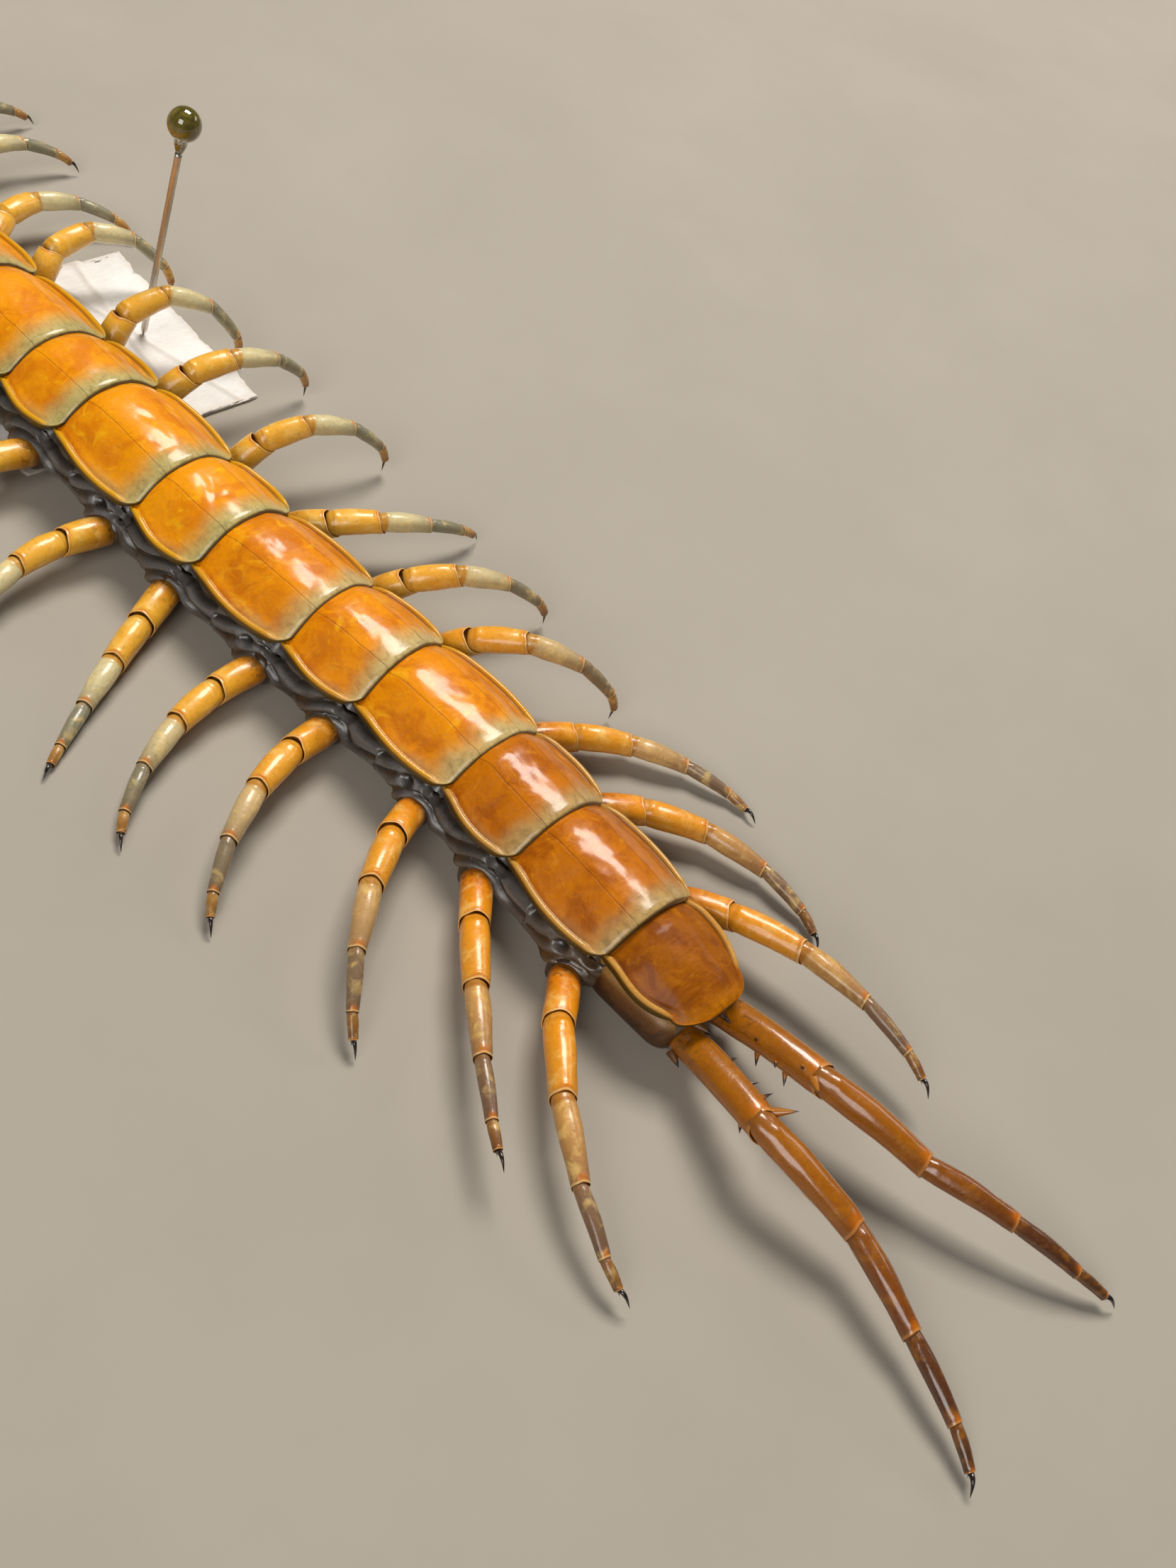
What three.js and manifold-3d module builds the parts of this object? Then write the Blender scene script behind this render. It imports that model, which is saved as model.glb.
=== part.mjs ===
// Giant centipede, a dried and pinned specimen at life size, as a still model.
// Millimetres, +Z up, +Y towards the head, +X to the animal's right.
// The origin is on the floor below the middle of tergite 9.
import * as THREE from 'three'
import { mergeVertices } from 'three/addons/utils/BufferGeometryUtils.js'
import Module from 'manifold-3d'

const wasm = await Module()
wasm.setup()

// Body: lengths of tergites 1 to 21, and half widths by [tergite, half width]
const TERGITE_LENGTHS = [
  7.4, 5.6, 8.4, 6.4, 9.2, 6.6, 9.0, 9.6, 7.0, 9.9, 7.1,
  9.8, 6.9, 9.5, 7.1, 9.9, 7.6, 10.2, 7.6, 9.9, 8.1,
]
const HALF_WIDTHS = [[1, 5.0], [4, 5.5], [9, 5.9], [15, 6.0], [18, 5.8], [20, 5.6], [21, 4.8]]
const ORIGIN_TERGITE = 9
const RIM_HEIGHT = 5.5
const ARCH_HEIGHT = 3.0
const ARCH_POWER = 2.2
const PLATE_THICKNESS = 0.5
const FLANK_HEIGHTS = [3.2, 1.8]
const FLANK_INSET = 0.45
const BELLY_HALF_WIDTH = 3.6
const GROOVE_DEPTH = 0.4
const GAP = 0.3

// The body's line seen from above, by [station along the body, degrees to the right]
const HEADINGS = [
  [-110, 2], [-99, 1], [-84, 1], [-69, -8.5], [-51, -5.6],
  [-29, -3.7], [-4, -1.5], [26, 3], [61, 7], [92, 9],
]

// The folded paper under tergites 10 to 14 lifts the body over it
const PAPER_LIFT = 0.85
const LIFT_START = -51
const LIFT_FULL = -38
const LIFT_HELD = -13
const LIFT_END = -5

// Tergites that each length of the trunk holds
const TRUNK_RANGES = [[1, 3], [4, 7], [8, 10], [11, 13], [14, 17], [18, 20]]

// Rows across one tergite from front to rear: place along it, plate width, flank width,
// whether the plate stands proud, and whether the belly is let into the groove
const TERGITE_ROWS = [
  { along: 0.01, plate: 0.82, flank: 0.85, proud: 0, groove: 1 },
  { along: 0.16, plate: 0.94, flank: 0.93, proud: 1, groove: 0 },
  { along: 0.48, plate: 1.02, flank: 1.01, proud: 1, groove: 0 },
  { along: 0.84, plate: 0.96, flank: 0.97, proud: 1, groove: 0 },
  { along: 0.99, plate: 0.80, flank: 0.86, proud: 1, groove: 1 },
]

// Legs: article lengths and radii from prefemur to claw, in the middle and at the rear
const LEG_MIDDLE = [4.2, 4.15, 4.5, 3.8, 1.6, 1.4]
const LEG_REAR = [4.9, 5.9, 5.9, 4.7, 2.1, 1.5]
const LEG_SIZES = [[1, 0.74], [4, 0.86], [9, 0.93], [14, 1]]
const LEG_RADII = [1.3, 1.15, 0.92, 0.6, 0.42, 0.27]
const LEG_TIP_RADIUS = 0.08
const LEG_SIDES = 6
const ROOT_HEIGHT = 2.3
const ROOT_OUTSET = 0.2
const ROOT_FROM_REAR = [[1, 2.6], [9, 2.4], [13, 1.9], [15, 1.5]]
const COXA_RADIUS = 1.35
const COXA_INNER_RADIUS = 0.8
const COXA_LENGTH = 2.6
const TIP_HEIGHT = 0.25

// Leg poses: forward sweep of the prefemur, further turn of each article, lift in degrees,
// and the height that a leg off the floor keeps at its tip
const LEFT_POSES = [
  [36, -4, 18], [30, -4, 18], [26, -3, 18], [20, -3, 18], [16, -3, 18],
  [14, -3, 16], [12, -3, 16], [10, -3, 15], [8, -3, 15], [6, -3, 14],
  [3, -3, 13], [1, -3, 12], [4, -7, 10], [9, -12, 4], [-20, -2, -5],
  [4, -11, 0], [-2, -10, 10], [-22, -9, 18], [-46, -4, 8, 3.5], [-39, -11, 13, 0.8],
]
const RIGHT_POSES = [
  [33, -4, 18], [30, -3, 18], [24, -3, 18], [21, -3, 18], [17, -2, 18],
  [15, -2, 17], [14, -1, 17], [16, -5, 18], [22, -12, 20], [36, -24, 10],
  [28, -25, 34], [14, -20, 45], [-16, 2, 38], [-14, -4, 42], [-48, 9, 22],
  [-42, 1, 38], [-58, 0, 44], [-27, -14, -2], [-35, -17, 0], [-62, -9, 16, 2.5],
]

// Ultimate legs
const LAST_LENGTHS = [8.2, 9.1, 7.4, 5.9, 2.9, 1.5]
const LAST_RADII = [1.35, 1.2, 0.95, 0.7, 0.5, 0.3]
const LAST_SIDES = 8
const LAST_POSES = {
  l: { turns: [-77, -97, -79, -75, -68, -49], lifts: [20, -12, -9, -9, -16, -22] },
  r: { turns: [-87, -75, -69, -68, -66, -69], lifts: [18, -8, -4, -15, -21, -32] },
}
const LAST_ROOT = { outset: 2.2, behind: 0.55, height: 2.95 }
const SPINE_LENGTH = 1.1
const SPINE_RADIUS = 0.3

// Head, from its rear edge forward: place, half width, height of the crown and of the underside
const HEAD_ROWS = [
  [10.4, 1.7, 5.9, 4.3], [9.7, 2.9, 6.4, 3.5], [8.3, 4.1, 7.0, 3.2], [5.6, 4.95, 7.6, 3.1],
  [2.6, 5.15, 7.9, 3.1], [0.7, 4.8, 7.9, 3.3], [0, 4.2, 7.5, 3.7],
]
const OCELLUS_RADIUS = 0.3
const OCELLI = [[3.55, 8.55, 5.5], [3.95, 7.95, 5.35], [3.7, 8.0, 6.05], [4.1, 7.35, 5.9]]
const MOUTH = { width: 3.6, height: 0.35, depth: 1.6, ahead: 10.2, level: 4.35 }

// Plate under the head that carries the poison claws: place, half width, crown, underside
const FANG_BASE_ROWS = [
  [7.4, 1.3, 2.2, 1.3], [6.6, 2.2, 2.5, 0.6], [3.4, 3.1, 2.7, 0.3], [2.2, 4.1, 2.7, 0.3],
  [0.3, 3.8, 2.7, 0.4],
]
const FANG_PATH = [
  [4.35, 3.9, 1.5], [5.0, 6.0, 1.6], [4.75, 8.2, 1.65], [3.7, 10.0, 1.6], [2.2, 11.1, 1.4], [0.75, 11.5, 1.2],
]
const FANG_RADII = [1.25, 1.35, 1.15, 0.75, 0.4, 0.07]

// Antennae
const ANTENNA_ARTICLES = 17
const ANTENNA_ROOT = [1.75, 10.6, 5.3]
const ANTENNA_RADII = [0.75, 0.28]
const ANTENNA_LENGTHS = [2.5, 1.7]
const ANTENNA_TURN = [22, 62]
const ANTENNA_LIFT = [10, -21]

// Mount: pin through a slip of folded paper
const PIN_FOOT = [14.2, -23.8]
const PIN_LEAN = [0.3, -3.1]
const PIN_HEIGHT = 20.6
const PIN_RADIUS = 0.3
const BEAD_RADIUS = 1.4
const BEAD_NECK = 1.5
const PAPER_THICKNESS = 0.45
const PAPER_EDGES = { left: -4.5, right: 18.8, front: -12.8, rear: -35.2 }

const COLOURS = {
  shell: 0xc9740f, rearShell: 0xa8490f, head: 0xa33c12, flesh: 0xd9a548, last: 0x94380f,
  antenna: 0x8fa08c, fang: 0x8f3312, steel: 0xb7aaa0, bead: 0x3c3f17, paper: 0xf2efec,
}

const model = new THREE.Group()

const radians = THREE.MathUtils.degToRad
const lerp = THREE.MathUtils.lerp

// Value at x on straight lines through [x, value] keys
function keyed(keys, x) {
  if (x <= keys[0][0]) return keys[0][1]
  for (let i = 1; i < keys.length; i++) {
    const [x0, v0] = keys[i - 1]
    const [x1, v1] = keys[i]
    if (x <= x1) return lerp(v0, v1, (x - x0) / (x1 - x0))
  }
  return keys[keys.length - 1][1]
}

// Station of the rear edge of each tergite, numbered from 1
const rearOf = []
rearOf[ORIGIN_TERGITE] = -TERGITE_LENGTHS[ORIGIN_TERGITE - 1] / 2
for (let k = ORIGIN_TERGITE - 1; k >= 1; k--) rearOf[k] = rearOf[k + 1] + TERGITE_LENGTHS[k]
for (let k = ORIGIN_TERGITE + 1; k <= 21; k++) rearOf[k] = rearOf[k - 1] - TERGITE_LENGTHS[k - 1]
const frontOf = (k) => rearOf[k] + TERGITE_LENGTHS[k - 1]
const HEAD_STATION = frontOf(1) + GAP

// The body's line: place and heading at a station
function axisAt(station) {
  const step = 0.5
  const direction = Math.sign(station)
  let x = 0
  let y = 0
  for (let s = 0; s < Math.abs(station); s += step) {
    const length = Math.min(step, Math.abs(station) - s) * direction
    const heading = radians(keyed(HEADINGS, direction * s + length / 2))
    x += Math.sin(heading) * length
    y += Math.cos(heading) * length
  }
  return { x, y, heading: radians(keyed(HEADINGS, station)) }
}

function liftAt(station) {
  const rise = THREE.MathUtils.smoothstep(station, LIFT_START, LIFT_FULL)
  const fall = THREE.MathUtils.smoothstep(station, LIFT_HELD, LIFT_END)
  return PAPER_LIFT * rise * (1 - fall)
}

// Point at a station, so far to the right and so high over the body's own underside
function bodyPoint(station, right, height) {
  const axis = axisAt(station)
  return new THREE.Vector3(
    axis.x + right * Math.cos(axis.heading),
    axis.y - right * Math.sin(axis.heading),
    height + liftAt(station),
  )
}

// Closed surface through rows of points, each row going round clockwise as seen ahead
function loft(rows) {
  const sides = rows[0].length
  const last = rows.length - 1
  const geometry = new THREE.CylinderGeometry(1, 1, 1, sides, last)
  const position = geometry.attributes.position
  const at = new THREE.Vector3()
  for (let i = 0; i < position.count; i++) {
    at.fromBufferAttribute(position, i)
    const row = rows[Math.round((0.5 - at.y) * last)]
    const column = Math.round((Math.atan2(at.x, at.z) / (2 * Math.PI)) * sides + sides) % sides
    const point = Math.hypot(at.x, at.z) > 0.5 ? row[column] : middleOf(row)
    position.setXYZ(i, point.x, point.y, point.z)
  }
  return geometry
}

function middleOf(points) {
  const sum = new THREE.Vector3()
  for (const point of points) sum.add(point)
  return sum.divideScalar(points.length)
}

// Round tube of changing radius along a path of points
function tube(path, radii, sides) {
  const rows = path.map((point, i) => {
    const before = path[Math.max(i - 1, 0)]
    const after = path[Math.min(i + 1, path.length - 1)]
    const ahead = new THREE.Vector3().subVectors(after, before).normalize()
    const side = new THREE.Vector3(0, 0, 1).cross(ahead).normalize()
    const up = new THREE.Vector3().crossVectors(ahead, side)
    const row = []
    for (let j = 0; j < sides; j++) {
      const angle = ((j + 0.5) / sides) * 2 * Math.PI
      const across = side.clone().multiplyScalar(-Math.sin(angle)).addScaledVector(up, Math.cos(angle))
      row.push(point.clone().addScaledVector(across, radii[i]))
    }
    return row
  })
  return loft(rows.map((row) => row.slice().reverse()))
}

// Mesh geometry to a solid of manifold-3d, and back with only its largest closed surface
function toSolid(geometry) {
  const bare = geometry.clone()
  bare.deleteAttribute('normal')
  bare.deleteAttribute('uv')
  const merged = mergeVertices(bare, 1e-4)
  return new wasm.Manifold(new wasm.Mesh({
    numProp: 3,
    vertProperties: Float32Array.from(merged.attributes.position.array),
    triVerts: Uint32Array.from(merged.index.array),
  }))
}

function toGeometry(solid) {
  const pieces = solid.decompose()
  let largest = pieces[0]
  for (const piece of pieces) {
    if (piece.volume() > largest.volume()) largest = piece
  }
  const mesh = largest.getMesh()
  const geometry = new THREE.BufferGeometry()
  geometry.setAttribute('position', new THREE.BufferAttribute(Float32Array.from(mesh.vertProperties), 3))
  geometry.setIndex(new THREE.BufferAttribute(Uint32Array.from(mesh.triVerts), 1))
  geometry.computeVertexNormals()
  return geometry
}

function joined(base, additions, cuts = []) {
  let solid = toSolid(base)
  for (const addition of additions) solid = solid.add(toSolid(addition))
  for (const cut of cuts) solid = solid.subtract(toSolid(cut))
  return toGeometry(solid)
}

function addNode(name, geometry, color, roughness = 0.4, metalness = 0) {
  const mesh = new THREE.Mesh(geometry, new THREE.MeshStandardMaterial({ color, roughness, metalness }))
  mesh.name = name
  model.add(mesh)
}

// Cross-section of the trunk at a station, clockwise from the crown as seen from the tail
function section(station, plate, flank, proud, groove) {
  const drop = proud ? 0 : PLATE_THICKNESS * 0.85
  const belly = groove * GROOVE_DEPTH
  const right = []
  for (const share of [0.34, 0.62, 0.85]) {
    right.push([plate * share, RIM_HEIGHT + ARCH_HEIGHT * (1 - share ** ARCH_POWER) - drop])
  }
  right.push([plate, RIM_HEIGHT - drop])
  right.push([plate - 0.12, RIM_HEIGHT - PLATE_THICKNESS])
  right.push([plate - 0.75, RIM_HEIGHT - PLATE_THICKNESS - 0.1])
  right.push([flank, FLANK_HEIGHTS[0]])
  right.push([flank - 0.2, FLANK_HEIGHTS[1]])
  right.push([BELLY_HALF_WIDTH, belly])
  const left = right.map(([x, z]) => [-x, z]).reverse()
  const outline = [[0, RIM_HEIGHT + ARCH_HEIGHT - drop], ...right, [0, belly], ...left]
  return outline.map(([x, z]) => bodyPoint(station, x, z))
}

// Unit direction of a leg: sweep forward from straight out, and lift, in degrees
function legDirection(side, station, sweep, lift) {
  const heading = axisAt(station).heading
  const out = side * Math.cos(radians(sweep)) * Math.cos(radians(lift))
  const ahead = Math.sin(radians(sweep)) * Math.cos(radians(lift))
  return new THREE.Vector3(
    out * Math.cos(heading) + ahead * Math.sin(heading),
    ahead * Math.cos(heading) - out * Math.sin(heading),
    Math.sin(radians(lift)),
  )
}

function legLengths(k) {
  const rear = Math.max(0, (k - 16) / 4) ** 1.2
  const size = keyed(LEG_SIZES, k)
  return LEG_MIDDLE.map((length, i) => lerp(length * size, LEG_REAR[i], rear))
}

function legRoot(k, side) {
  const station = rearOf[k] + keyed(ROOT_FROM_REAR, k)
  return { station, point: bodyPoint(station, side * (keyed(HALF_WIDTHS, k) + ROOT_OUTSET), ROOT_HEIGHT) }
}

// Joints of a leg from root to tip, drooping just enough to bring the tip to its height
function legJoints(k, side, [sweep, turn, lift, tipHeight = TIP_HEIGHT]) {
  const { station, point } = legRoot(k, side)
  const lengths = legLengths(k)
  const walk = (droop) => {
    const joints = [point]
    lengths.forEach((length, i) => {
      const direction = legDirection(side, station, sweep + turn * i, lift - droop * i)
      joints.push(joints[i].clone().addScaledVector(direction, length))
    })
    return joints
  }
  let low = -10
  let high = 40
  for (let i = 0; i < 24; i++) {
    const droop = (low + high) / 2
    if (walk(droop)[lengths.length].z > tipHeight) low = droop
    else high = droop
  }
  return walk(high)
}

// Leg as one tube: each article is narrow at its neck and full near its far end
function legGeometry(joints, radii, sides) {
  const path = []
  const sizes = []
  radii.forEach((radius, i) => {
    const claw = i === radii.length - 1
    path.push(joints[i].clone())
    sizes.push(i === 0 ? radius * 0.92 : radius * 0.86)
    path.push(joints[i].clone().lerp(joints[i + 1], claw ? 0.5 : 0.8))
    sizes.push(claw ? radius * 0.75 : radius)
  })
  path.push(joints[joints.length - 1])
  sizes.push(LEG_TIP_RADIUS)
  return tube(path, sizes, sides)
}

function coxa(k, side, pose) {
  const { station, point } = legRoot(k, side)
  const direction = legDirection(side, station, pose[0], pose[2])
  const near = point.clone().addScaledVector(direction, -GAP)
  const far = near.clone().addScaledVector(direction, -COXA_LENGTH)
  far.z = Math.max(far.z, COXA_INNER_RADIUS + GAP)
  return tube([far, near], [COXA_INNER_RADIUS, COXA_RADIUS], 8)
}

function buildTrunk() {
  TRUNK_RANGES.forEach(([first, last], i) => {
    const rows = []
    const coxae = []
    for (let k = first; k <= last; k++) {
      const half = keyed(HALF_WIDTHS, k)
      for (const { along, plate, flank, proud, groove } of TERGITE_ROWS) {
        let station = frontOf(k) - along * TERGITE_LENGTHS[k - 1]
        if (k === first && along < 0.1) station = frontOf(k) - GAP / 2
        if (k === last && along > 0.9) station = rearOf[k] + GAP / 2
        rows.push(section(station, half * plate, half * flank - FLANK_INSET, proud, groove))
      }
      coxae.push(coxa(k, -1, LEFT_POSES[k - 1]), coxa(k, 1, RIGHT_POSES[k - 1]))
    }
    const color = i < 5 ? COLOURS.shell : COLOURS.rearShell
    addNode(`trunk_${i + 1}`, joined(loft(rows), coxae), color)
  })
}

function buildLegs() {
  for (let k = 1; k <= 20; k++) {
    const number = String(k).padStart(2, '0')
    addNode(`leg_l${number}`, legGeometry(legJoints(k, -1, LEFT_POSES[k - 1]), LEG_RADII, LEG_SIDES), COLOURS.flesh)
    addNode(`leg_r${number}`, legGeometry(legJoints(k, 1, RIGHT_POSES[k - 1]), LEG_RADII, LEG_SIDES), COLOURS.flesh)
  }
}

// Last tergite, rounded behind, over the two big plates that carry the ultimate legs
const TAIL_ROWS = [
  { along: 0.02, plate: 0.87, flank: 0.97, sink: 0.6 },
  { along: 0.15, plate: 0.97, flank: 1.02, sink: 0.1 },
  { along: 0.45, plate: 0.99, flank: 1.02, sink: 0.3 },
  { along: 0.75, plate: 0.79, flank: 0.96, sink: 0.95 },
  { along: 0.93, plate: 0.57, flank: 0.86, sink: 1.5 },
  { along: 0.98, plate: 0.36, flank: 0.76, sink: 1.7 },
]

function tailSection(station, plate, flank, sink) {
  const right = []
  const top = RIM_HEIGHT + ARCH_HEIGHT * 0.85 - sink
  for (const share of [0.34, 0.66, 1]) {
    right.push([plate * share, top - ARCH_HEIGHT * 0.75 * (share ** ARCH_POWER) * (plate / 4.8)])
  }
  const rim = right[2][1]
  right.push([plate - 0.1, rim - PLATE_THICKNESS])
  right.push([flank, Math.min(3.6, rim - PLATE_THICKNESS - 0.3)])
  right.push([flank - 0.25, 1.7])
  right.push([flank * 0.6, 0.35])
  const left = right.map(([x, z]) => [-x, z]).reverse()
  return [[0, top], ...right, [0, 0.35], ...left].map(([x, z]) => bodyPoint(station, x, z))
}

function lastRoot(side) {
  return bodyPoint(rearOf[21] - LAST_ROOT.behind, side * LAST_ROOT.outset, LAST_ROOT.height)
}

function lastJoints(side, pose) {
  const joints = [lastRoot(side)]
  LAST_LENGTHS.forEach((length, i) => {
    const direction = legDirection(side, rearOf[20], pose.turns[i], pose.lifts[i])
    joints.push(joints[i].clone().addScaledVector(direction, length))
  })
  return joints
}

function spine(foot, direction, length = SPINE_LENGTH) {
  const start = foot.clone().addScaledVector(direction, -0.5)
  return tube([start, foot.clone().addScaledVector(direction, length)], [SPINE_RADIUS, 0.05], 5)
}

// Spines of the last prefemur by [share of its length, degrees round it from above, size]
const LAST_SPINES = [
  [0.3, 50, 0.8], [0.55, 75, 0.9], [0.78, 40, 1], [0.35, 120, 0.9], [0.65, 125, 0.9], [0.93, 60, 1.7],
  [0.45, 175, 0.8], [0.75, 200, 0.8],
]

function lastSpines(joints, side) {
  const ahead = new THREE.Vector3().subVectors(joints[1], joints[0]).normalize()
  const inward = new THREE.Vector3(0, 0, 1).cross(ahead).normalize().multiplyScalar(side)
  const up = new THREE.Vector3().crossVectors(ahead, inward).multiplyScalar(side)
  return LAST_SPINES.map(([share, round, size]) => {
    const out = up.clone().multiplyScalar(Math.cos(radians(round)))
    out.addScaledVector(inward, -Math.sin(radians(round)))
    const foot = joints[0].clone().lerp(joints[1], share).addScaledVector(out, LAST_RADII[0] * 0.85)
    return spine(foot, out.addScaledVector(ahead, 0.55).normalize(), SPINE_LENGTH * size)
  })
}

function buildTail() {
  const half = keyed(HALF_WIDTHS, 21)
  const rows = TAIL_ROWS.map(({ along, plate, flank, sink }) => {
    const station = Math.min(frontOf(21) - GAP / 2, frontOf(21) - along * TERGITE_LENGTHS[20])
    return tailSection(station, half * plate, (half - 0.4) * flank, sink)
  })
  const coxae = []
  for (const side of [-1, 1]) {
    const pose = LAST_POSES[side < 0 ? 'l' : 'r']
    const direction = legDirection(side, rearOf[20], pose.turns[0], pose.lifts[0])
    const near = lastRoot(side).addScaledVector(direction, -GAP)
    const far = near.clone().addScaledVector(direction, -2.5)
    coxae.push(tube([far, near], [1.3, 1.3], 8))
    const corner = bodyPoint(rearOf[21] + 0.4, side * 3.5, 2.4)
    coxae.push(spine(corner, legDirection(side, rearOf[20], -75, 5), 0.9))
  }
  addNode('tail', joined(loft(rows), coxae), COLOURS.last)
  for (const side of [-1, 1]) {
    const name = side < 0 ? 'l' : 'r'
    const joints = lastJoints(side, LAST_POSES[name])
    const leg = legGeometry(joints, LAST_RADII, LAST_SIDES)
    addNode(`leg_${name}21`, joined(leg, lastSpines(joints, side)), COLOURS.last)
  }
}

// Flattened round section for the head and the plate under it
function headSection(ahead, half, crown, under) {
  const middle = lerp(under, crown, 0.45)
  const outline = []
  const sides = 14
  for (let i = 0; i < sides; i++) {
    const angle = (i / sides) * 2 * Math.PI
    const x = Math.sign(Math.sin(angle)) * Math.abs(Math.sin(angle)) ** 0.8
    const z = Math.sign(Math.cos(angle)) * Math.abs(Math.cos(angle)) ** 0.9
    outline.push([x * half, middle + z * (z > 0 ? crown - middle : middle - under)])
  }
  return outline.map(([x, z]) => bodyPoint(HEAD_STATION + ahead, x, z))
}

const headPoint = ([x, ahead, z], side = 1) => bodyPoint(HEAD_STATION + ahead, side * x, z)

function buildHead() {
  const base = loft(HEAD_ROWS.map((row) => headSection(...row)))
  const additions = []
  for (const side of [-1, 1]) {
    for (const place of OCELLI) {
      const at = headPoint(place, side)
      additions.push(new THREE.SphereGeometry(OCELLUS_RADIUS, 6, 4).translate(at.x, at.y, at.z))
    }
    const direction = legDirection(side, HEAD_STATION, 90 - ANTENNA_TURN[0], ANTENNA_LIFT[0])
    const near = headPoint(ANTENNA_ROOT, side).addScaledVector(direction, -GAP)
    const far = near.clone().addScaledVector(direction, -2.2)
    additions.push(tube([far, near], [1.0, 0.85], 8))
  }
  const heading = axisAt(HEAD_STATION).heading
  const slot = new THREE.BoxGeometry(MOUTH.width, MOUTH.depth, MOUTH.height).rotateZ(-heading)
  const at = headPoint([0, MOUTH.ahead, MOUTH.level])
  slot.translate(at.x, at.y, at.z)
  addNode('head', joined(base, additions, [slot]), COLOURS.head)
}

function buildFangs() {
  const plate = loft(FANG_BASE_ROWS.map((row) => headSection(...row)))
  const roots = []
  for (const side of [-1, 1]) {
    const path = FANG_PATH.map((place) => headPoint(place, side))
    const direction = new THREE.Vector3().subVectors(path[1], path[0]).normalize()
    const near = path[0].clone().addScaledVector(direction, -GAP)
    const far = near.clone().addScaledVector(direction, -2.2)
    roots.push(tube([far, near], [1.0, 1.1], 8))
    addNode(`forcipule_${side < 0 ? 'l' : 'r'}`, tube(path, FANG_RADII, 8), COLOURS.fang)
  }
  addNode('forcipule_base', joined(plate, roots), COLOURS.fang)
}

function buildAntennae() {
  for (const side of [-1, 1]) {
    const path = []
    const radii = []
    let at = headPoint(ANTENNA_ROOT, side)
    for (let i = 0; i < ANTENNA_ARTICLES; i++) {
      const share = i / (ANTENNA_ARTICLES - 1)
      const direction = legDirection(
        side, HEAD_STATION, 90 - lerp(...ANTENNA_TURN, share), lerp(...ANTENNA_LIFT, share ** 0.6),
      )
      const length = lerp(...ANTENNA_LENGTHS, share)
      const radius = lerp(...ANTENNA_RADII, share)
      path.push(at.clone(), at.clone().addScaledVector(direction, length * 0.75))
      radii.push(radius * 0.8, radius)
      at = at.clone().addScaledVector(direction, length)
    }
    path.push(at)
    radii.push(ANTENNA_RADII[1] * 0.5)
    addNode(`antenna_${side < 0 ? 'l' : 'r'}`, tube(path, radii, 6), COLOURS.antenna)
  }
}

function buildMount() {
  const foot = new THREE.Vector3(PIN_FOOT[0], PIN_FOOT[1], 0)
  const top = new THREE.Vector3(PIN_FOOT[0] + PIN_LEAN[0], PIN_FOOT[1] + PIN_LEAN[1], PIN_HEIGHT)
  const lean = new THREE.Vector3().subVectors(top, foot).normalize()
  const turn = new THREE.Quaternion().setFromUnitVectors(new THREE.Vector3(0, 1, 0), lean)
  const length = foot.distanceTo(top)
  const shaft = new THREE.CylinderGeometry(PIN_RADIUS, PIN_RADIUS, length, 8)
  shaft.translate(0, length / 2 + PIN_RADIUS * 0.2, 0).applyQuaternion(turn).translate(foot.x, foot.y, 0)
  addNode('pin_shaft', shaft, COLOURS.steel, 0.25, 1)
  const places = [[0, GAP + 0.1], [0.38, GAP + 0.1], [0.5, BEAD_NECK * 0.7]]
  for (let i = 1; i <= 6; i++) {
    const angle = lerp(-0.36, 0.5, i / 6) * Math.PI
    places.push([Math.cos(angle) * BEAD_RADIUS, BEAD_NECK + BEAD_RADIUS * (1 + Math.sin(angle))])
  }
  const profile = places.map(([radius, height]) => new THREE.Vector2(radius, height))
  profile[profile.length - 1].x = 0
  const bead = new THREE.LatheGeometry(profile, 10)
  bead.applyQuaternion(turn).translate(top.x, top.y, top.z)
  addNode('pin_bead', bead, COLOURS.bead, 0.1)

  const { left, right, front, rear } = PAPER_EDGES
  const slip = new THREE.BoxGeometry(right - left, front - rear, PAPER_THICKNESS)
  slip.translate((left + right) / 2, (front + rear) / 2, PAPER_THICKNESS / 2)
  const hole = new THREE.CylinderGeometry(PIN_RADIUS + GAP, PIN_RADIUS + GAP, 2, 10)
  hole.rotateX(Math.PI / 2).translate(foot.x, foot.y, 0)
  addNode('paper', joined(slip, [], [hole]), COLOURS.paper, 0.9)
}

buildHead()
buildFangs()
buildAntennae()
buildTrunk()
buildLegs()
buildTail()
buildMount()

export default model
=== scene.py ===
"""Giant centipede, dried and pinned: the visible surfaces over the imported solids.

Lengths are millimetres until a mesh is made, in the solids' own frame: +Y towards the head,
+X to the animal's right, +Z up, the floor at 0.
"""
import math

import bpy
import numpy as np
from mathutils import Matrix, Vector


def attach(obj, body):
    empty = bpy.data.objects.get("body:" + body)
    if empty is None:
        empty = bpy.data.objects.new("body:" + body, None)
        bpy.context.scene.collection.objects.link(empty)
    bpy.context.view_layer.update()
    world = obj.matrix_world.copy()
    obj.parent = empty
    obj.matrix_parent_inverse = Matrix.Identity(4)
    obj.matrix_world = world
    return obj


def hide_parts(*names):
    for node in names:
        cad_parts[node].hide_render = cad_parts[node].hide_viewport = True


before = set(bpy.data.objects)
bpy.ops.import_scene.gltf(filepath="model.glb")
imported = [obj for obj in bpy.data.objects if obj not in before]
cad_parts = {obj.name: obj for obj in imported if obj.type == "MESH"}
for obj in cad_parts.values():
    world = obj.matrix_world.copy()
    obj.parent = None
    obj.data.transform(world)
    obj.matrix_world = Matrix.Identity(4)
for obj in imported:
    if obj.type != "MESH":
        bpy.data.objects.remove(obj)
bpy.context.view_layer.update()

MM = 0.001
TAU = 2 * math.pi

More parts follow.
